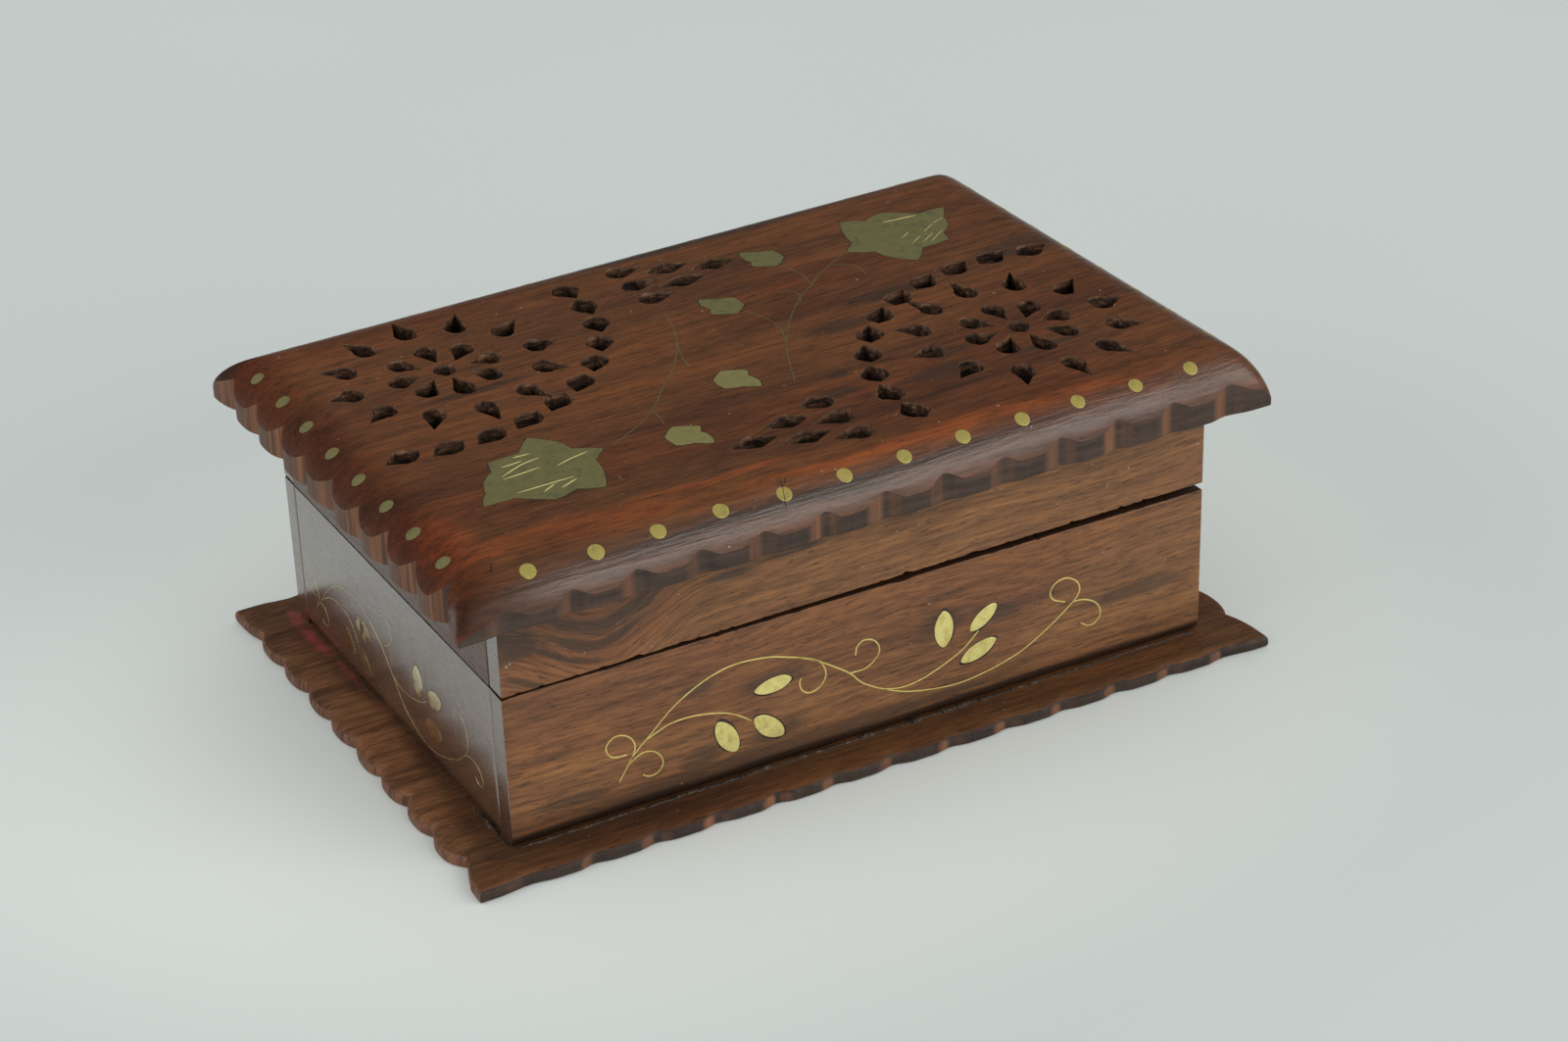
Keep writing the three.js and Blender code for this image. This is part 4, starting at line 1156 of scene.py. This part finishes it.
def linings(material):
    x, y = HALF_LENGTH - WALL, HALF_DEPTH - WALL
    low, top = BASE_TOP + FELT_CORNER, SEAM - FELT_DROP
    middle, height = (low + top) / 2, top - low
    wide, deep = 2 * (x - FELT_ROOM), 2 * (y - FELT_CORNER)
    cut = {
        "floor": (wide, 2 * (y - FELT_ROOM), lambda a, b, out: (a, b, BASE_TOP + out), ["base_board"]),
        "front": (wide, height, lambda a, b, out: (a, -y + out, middle + b), ["front_wall"]),
        "back": (wide, height, lambda a, b, out: (a, y - out, middle + b), ["back_wall"]),
        "left": (deep, height, lambda a, b, out: (-x + out, a, middle + b), ["left_wall"]),
        "right": (deep, height, lambda a, b, out: (x - out, a, middle + b), ["right_wall"]),
    }
    for i, (side, (width, length, place, rests)) in enumerate(cut.items()):
        shape = cloth_sheet(width, length, place, i + 1.5)
        made = add_piece(f"{side}_felt", shape, [material], "base", "felt", f"{side}_lining")
        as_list(rests)


# Turned forms about a line through a place: profile points are (distance along, radius)
def lathe(profile, centre, axis, segments=32):
    rings = []
    for along, radius in profile:
        ring = []
        for k in range(segments):
            angle = 2 * math.pi * k / segments
            a, b = radius * math.cos(angle), radius * math.sin(angle)
            offset = (along, a, b) if axis == "x" else (b, along, a)
            ring.append(tuple(c + o for c, o in zip(centre, offset)))
        rings.append(ring)
    return rings


# A barrel round the pin, open at both ends
def barrel(centre, half):
    edge = KNUCKLE_RADIUS - 0.12
    profile = [(-half, KNUCKLE_BORE), (-half, edge), (-half + 0.12, KNUCKLE_RADIUS),
               (half - 0.12, KNUCKLE_RADIUS), (half, edge), (half, KNUCKLE_BORE)]
    return loft(lathe(profile, centre, "x", 40), closed=True)


def eased_box(low, high, ease=0.12):
    (x0, y0, z0), (x1, y1, z1) = low, high
    e = ease * 1.6
    rings = []
    for y, inset in ((y0, ease), (y0 + ease, 0), (y1 - ease, 0), (y1, ease)):
        a, b, c, d = x0 + inset, x1 - inset, z0 + inset, z1 - inset
        rings.append([(a + e, y, c), (b - e, y, c), (b, y, c + e), (b, y, d - e),
                      (b - e, y, d), (a + e, y, d), (a, y, d - e), (a, y, c + e)])
    return loft(rings)


# Turned profiles of the countersinks, the pins and the screws' heads
SINK = [(-1, 0.95), (0.1, 0.95), (0.85, 1.66), (1.4, 1.72)]
PIN = [(-11.4, 0.02), (-11.4, 0.4), (-11.25, 0.65), (11.25, 0.65), (11.4, 0.4), (11.4, 0.02)]
SCREW = [(-4.6, 0.02), (-3.4, 0.8), (0, 0.82), (0.12, 0.9), (0.82, 1.5), (0.95, 1.48), (1.08, 1.1),
         (1.14, 0.6), (1.15, 0.05)]


def hinge_leaf(side, word, body, direction, material):
    centre = HINGE_PLACES[side]
    node = f"{side}_hinge_{word}_leaf"

    def sheet(middle, length, near, far):
        low, high = sorted((AXIS_Z + direction * near, AXIS_Z + direction * far))
        return eased_box((middle - length / 2, HALF_DEPTH, low),
                         (middle + length / 2, HALF_DEPTH + LEAF_THICKNESS, high))

    shape = sheet(centre, HINGE_LENGTH, 2.1, 10.1)
    made = add_piece(f"{side}_hinge_{word}_plate", shape, [material], body, "hinge_brass", node)
    for offset in (-SCREW_SPREAD, SCREW_SPREAD):
        place = (centre + offset, HALF_DEPTH, AXIS_Z + direction * SCREW_LINE)
        subtract(made, "sink", loft(lathe(SINK, place, "y")), material)
    knuckle = (HINGE_LENGTH - 2 * KNUCKLE_GAP) / 3
    step = knuckle + KNUCKLE_GAP
    parts = []
    for offset in (-step, step) if body == "base" else (0,):
        parts.append(barrel((centre + offset, AXIS_Y, AXIS_Z), knuckle / 2))
        parts.append(sheet(centre + offset, knuckle, 0.9, 3))
    add_piece(f"{side}_hinge_{word}_barrels", merged(parts), [material], body, "hinge_brass", node)


def screw(node, x, z, body, material, degrees):
    place = (x, HALF_DEPTH, z)
    made = add_piece(f"{node}_turned", loft(lathe(SCREW, place, "y")), [material], body, "screw_brass", node)
    points, faces = eased_box((-2.4, 0.72, -0.2), (2.4, 2.2, 0.2), 0.02)
    turn = Matrix.Rotation(math.radians(degrees), 3, "Y")
    subtract(made, "slot", ([turn @ Vector(p) + Vector(place) for p in points], faces), material)


def hinges(plate_look, screw_look):
    halves = (("lower", "base", -1), ("upper", "lid", 1))
    for side, x in HINGE_PLACES.items():
        for half in halves:
            hinge_leaf(side, *half, plate_look)
        rod = loft(lathe(PIN, (x, AXIS_Y, AXIS_Z), "x"))
        add_piece(f"{side}_pin_rod", rod, [plate_look], "base", "hinge_brass", f"{side}_hinge_pin")
    places = [x + offset for x in HINGE_PLACES.values() for offset in (-SCREW_SPREAD, SCREW_SPREAD)]
    for word, body, direction in halves:
        z = AXIS_Z + direction * SCREW_LINE
        for i, x in enumerate(places):
            screw(f"{word}_screw_{i + 1}", x, z, body, screw_look, i * 37 + direction * 20)


# Looks. Tones are stops from the darkest streaks to the palest.
LID_TONES = [
    (0.25, (0.07, 0.029, 0.014)), (0.42, (0.14, 0.05, 0.018)), (0.58, (0.19, 0.063, 0.019)),
    (0.8, (0.27, 0.076, 0.015)),
]
BODY_TONES = [
    (0.25, (0.135, 0.06, 0.028)), (0.42, (0.24, 0.102, 0.039)), (0.58, (0.31, 0.134, 0.047)),
    (0.78, (0.42, 0.185, 0.055)),
]
BASE_TONES = [
    (0.25, (0.055, 0.027, 0.014)), (0.42, (0.11, 0.047, 0.02)), (0.58, (0.165, 0.067, 0.025)),
    (0.78, (0.27, 0.1, 0.03)),
]
# Darker copies of the body's tones, as painted shade on the left side
SHADED_SIDE_TONES = [
    (0.25, (0.058, 0.028, 0.019)), (0.42, (0.085, 0.039, 0.023)), (0.58, (0.1, 0.045, 0.025)),
    (0.78, (0.124, 0.055, 0.028)),
]
HOLE_TONES = [(0.36, (0.012, 0.007, 0.005)), (0.52, (0.09, 0.04, 0.022)), (0.7, (0.32, 0.16, 0.08))]

# Spots in millimetres: a centre and three radii
LID_DARK = [
    ((27, -4, 76.6), (17, 3.5, 30)), ((85, 10.5, 78), (16, 7, 30)), ((43, 5.5, 77), (14, 4, 30)),
    ((8, -34, 76), (9, 2.5, 30)), ((13, -26, 76), (4, 2, 30)), ((33, -38, 77), (13, 4.5, 30)),
    ((41, -30, 77), (9, 2.6, 30)), ((-60, 14, 75), (20, 2, 30)), ((60, -40, 77), (14, 2, 30)),
    ((-92, 66, 66), (34, 7, 12)), ((20, 60, 77), (50, 4, 30)), ((-14, -66, 72), (80, 1.1, 30)),
]
LID_BRIGHT = [
    ((-73, -57, 74), (36, 6, 30)), ((-94, -48, 72), (8, 17, 30)), ((20, -61, 76), (75, 2.6, 30)),
    ((-35, -54, 76), (30, 2, 30)),
]
RIM_DARK = [
    ((-88, -61, 55), (7, 30, 8)), ((-68, -61, 58.5), (22, 30, 1.6)), ((-64, -61, 63), (26, 30, 2.4)),
    ((-76, -61, 54.5), (14, 30, 1.1)), ((-82, -61, 46), (9, 30, 1.3)), ((-30, -61, 61), (60, 30, 1.5)),
    ((-36, -61, 55), (10, 30, 1.6)), ((-20, -61, 57), (11, 30, 1.4)),
]
# The first spot, broad and low, is painted shade along the wall's foot; the rest are dark patches in the wood
WALL_DARK = [
    ((-20, -61, 8), (80, 30, 3)), ((-75, -61, 11), (14, 30, 2)), ((70, -61, 20), (20, 30, 3)),
    ((-42, -61, 12), (7, 30, 3)), ((-24, -61, 12), (9, 30, 3.2)), ((-24, -61, 26), (10, 30, 2.6)),
    ((-44, -61, 29), (5, 30, 2)), ((20, -61, 27), (9, 30, 3.5)), ((33, -61, 25), (9, 30, 3.5)),
]
# Painted light on the base's strip left of the walls, which lies in shade
BASE_PAINTED_LIGHT = [((-98, -5, 3), (7, 72, 9))]
# Dye from the felt, with its strength first
BASE_DYE = [
    (0.9, (-91.6, 59, 3.5), (2.2, 7, 2)), (1.0, (-92, 49.5, 3.5), (2.8, 8, 2)),
    (1.0, (-91.6, 42, 3.5), (2.6, 6, 2)), (0.5, (-90.8, 27, 3.5), (1.7, 13, 2)),
    (0.4, (-90.6, 8, 3.5), (1.5, 8, 2)),
]


def woods():
    side = dict(seam=True, contrast=0.16)
    return {
        "lid": wood("lid sheesham", "x", 1.0, LID_TONES, LID_DARK, LID_BRIGHT, pale_and_lit_tone=(0.3, 0.07, 0.014),
                    nose=True, wave=6, contrast=0.75, coat=1.0, coat_rough=0.28, coat_ior=1.75, ior=1.3),
        "base": wood("base sheesham", "x", 7.0, BASE_TONES, bright_spots=BASE_PAINTED_LIGHT, dye_spots=BASE_DYE,
                     pale_and_lit_tone=(0.34, 0.14, 0.06), contrast=0.75, gloss=0.6, ior=1.3),
        "lid_edge": scallop_wood("lid edge", 2.0, (0.066, 0.036, 0.025), (0.14, 0.06, 0.036),
                                 (0.24, 0.095, 0.042)),
        "base_edge": scallop_wood("base edge", 4.0, (0.042, 0.022, 0.014), (0.2, 0.08, 0.044),
                                  (0.26, 0.1, 0.045)),
        "hole": hole_wood(),
        "front_wall": wood("front wall sheesham", "x", 3.0, BODY_TONES, WALL_DARK, foot=0.88, seam=True),
        "front_rim": wood("front rim sheesham", "x", 4.0, BODY_TONES, RIM_DARK, smudge_and_shade=0.85, wave=7,
                          bend=(-66, 26, 11), seam=True),
        "back_wall": wood("back wall sheesham", "x", 5.5, BODY_TONES, foot=0.8, seam=True),
        "back_rim": wood("back rim sheesham", "x", 6.5, BODY_TONES, seam=True),
        # The left side's darker tones are painted shade
        "left_wall": wood("left wall sheesham", "y", 8.0, SHADED_SIDE_TONES, foot=0.3, gloss=0.24, coat=1.0,
                          coat_ior=2.4, **side),
        "left_rim": wood("left rim sheesham", "y", 9.0, SHADED_SIDE_TONES, gloss=0.32, coat=0.36, coat_ior=1.75,
                         ior=1.3, **side),
        "left_ends": wood("left end grain", "y", 12.0, SHADED_SIDE_TONES, foot=0.3, gloss=0.26, coat=1.0,
                          coat_ior=2.25, **side),
        "right_ends": wood("right end grain", "y", 13.0, BODY_TONES, foot=0.5, seam=True, gloss=0.45,
                           coat=0.2),
        "right_wall": wood("right wall sheesham", "y", 10.0, BODY_TONES, foot=0.5, seam=True, gloss=0.38,
                           coat=0.3),
        "right_rim": wood("right rim sheesham", "y", 11.0, BODY_TONES, seam=True, gloss=0.38, coat=0.3),
    }


# Brass: a seed, bright and dull colours, the dull share, a roughness, and where they differ, how metallic
# and how bumpy it is
BRASSES = {
    "wall_brass": ("bright brass", 1.0, (1.0, 0.88, 0.34), (0.66, 0.49, 0.14), 0.55, 0.34),
    "wall_wire": ("front wire", 1.2, (0.86, 0.7, 0.24), (0.55, 0.4, 0.12), 0.5, 0.34),
    "side_brass": ("side brass", 1.5, (0.97, 0.9, 0.6), (0.85, 0.76, 0.44), 0.2, 0.14, 1.0, 0.02),
    "side_wire": ("side wire", 1.8, (0.66, 0.54, 0.26), (0.4, 0.31, 0.14), 0.4, 0.3, 0.9, 0.2),
    "lid_brass": ("tarnished brass", 2.0, (0.185, 0.163, 0.058), (0.085, 0.09, 0.046), 0.45, 0.42, 0.2),
    "worn_brass": ("worn brass", 2.2, (0.27, 0.235, 0.08), (0.16, 0.15, 0.06), 0.4, 0.4, 0.25),
    "lid_vine": ("dark brass", 2.5, (0.16, 0.14, 0.06), (0.08, 0.075, 0.04), 0.5, 0.42, 0.3),
    "engraved": ("fresh cut brass", 3.0, (1.0, 0.8, 0.32), (0.7, 0.52, 0.18), 0.1, 0.4, 0.15),
    "dot": ("dull brass", 4.0, (0.52, 0.42, 0.115), (0.26, 0.21, 0.065), 0.45, 0.4, 0.4),
    "green_dot": ("green brass", 5.0, (0.22, 0.19, 0.07), (0.12, 0.12, 0.055), 0.5, 0.45, 0.2),
    "hinge": ("hinge brass", 6.0, (0.55, 0.42, 0.17), (0.28, 0.2, 0.09), 0.5, 0.38),
    "screw": ("screw brass", 7.0, (0.5, 0.39, 0.17), (0.22, 0.16, 0.08), 0.5, 0.4),
}


# Camera, light and floor
def camera():
    data = bpy.data.cameras.new("photo camera")
    data.lens = 78.232
    data.sensor_width = 36
    data.clip_start, data.clip_end = 0.01, 20
    made = add_object("photo_camera", data)
    made.matrix_world = (
        Matrix.Translation((-0.329103, -0.6332969, 0.4096824))
        @ Matrix.Rotation(math.radians(-28.3063), 4, "Z")
        @ Matrix.Rotation(math.radians(62.0084), 4, "X")
        @ Matrix.Rotation(math.radians(-1.8817), 4, "Z")
    )
    bpy.context.scene.camera = made


def area_light(name, place, target, width, height, power):
    data = bpy.data.lights.new(name, "AREA")
    data.shape = "RECTANGLE"
    data.size, data.size_y = width, height
    data.energy = power
    data.color = (1.0, 0.985, 0.955)
    made = add_object(name, data)
    made.location = place
    made.rotation_euler = (Vector(target) - Vector(place)).to_track_quat("-Z", "Y").to_euler()


def studio():
    scene = bpy.context.scene
    scene.view_settings.view_transform = "Standard"
    world = bpy.data.worlds.new("pale studio")
    world.use_nodes = True
    scene.world = world
    tree = world.node_tree
    background = tree.nodes["Background"]
    background.inputs["Color"].default_value = (0.88, 0.925, 0.91, 1)
    rays = tree.nodes.new("ShaderNodeLightPath")
    strength = tree.nodes.new("ShaderNodeMapRange")
    strength.inputs["To Min"].default_value = 0.74
    strength.inputs["To Max"].default_value = 0.14
    tree.links.new(rays.outputs["Is Glossy Ray"], strength.inputs["Value"])
    tree.links.new(strength.outputs[0], background.inputs["Strength"])
    area_light("front_softbox", (1.5, -2.45, 1.35), (0, 0, 0.05), 3.2, 2.4, 42)
    area_light("left_softbox", (-2.8, 0.4, 1.5), (0, 0, 0.05), 2.4, 2, 22)


def paper_floor():
    s = Shader("pale floor")
    mottle = s.noise(3, 2)
    paper = s.ramp(mottle, [(0.3, (0.64, 0.67, 0.66)), (0.7, (0.66, 0.69, 0.68))])
    # Painted light: the floor is paler round the box, against the box's shadow on it
    near = s.spot(s.position, (-20, 6, 0), (240, 185, 1000), 0.45)
    s.paint(s.mix(near, paper, (0.84, 0.865, 0.845)), s.band(mottle, 0.3, 0.7, 0.85, 0.95))
    s.bump(s.noise(90, 2), 0.0001, 0.3)
    mesh = bpy.data.meshes.new("floor")
    work = bmesh.new()
    bmesh.ops.create_grid(work, x_segments=16, y_segments=16, size=3)
    work.to_mesh(mesh)
    work.free()
    mesh.materials.append(s.finish(Specular_IOR_Level=0.2))
    floor = add_object("floor", mesh)


def build():
    look = {**woods(), **{key: brass(*values) for key, values in BRASSES.items()}}
    dark, old_glue = filler(), residue()
    base_board([look["base"], look["base_edge"]])
    body_boards(look)
    lid_board([look["lid"], look["lid_edge"], look["hole"]])
    for side in MOTIFS:
        word = "wall" if side == "front" else "side"
        wall_inlay(side, look[f"{word}_brass"], look[f"{word}_wire"], dark)
    lid_inlay(look["lid_brass"], look["worn_brass"], look["engraved"], look["lid_vine"], dark)
    edge_dots(look["dot"], look["green_dot"])
    wall_residue(old_glue)
    scratches(old_glue)
    linings(felt())
    hinges(look["hinge"], look["screw"])


camera()
studio()
paper_floor()
build()
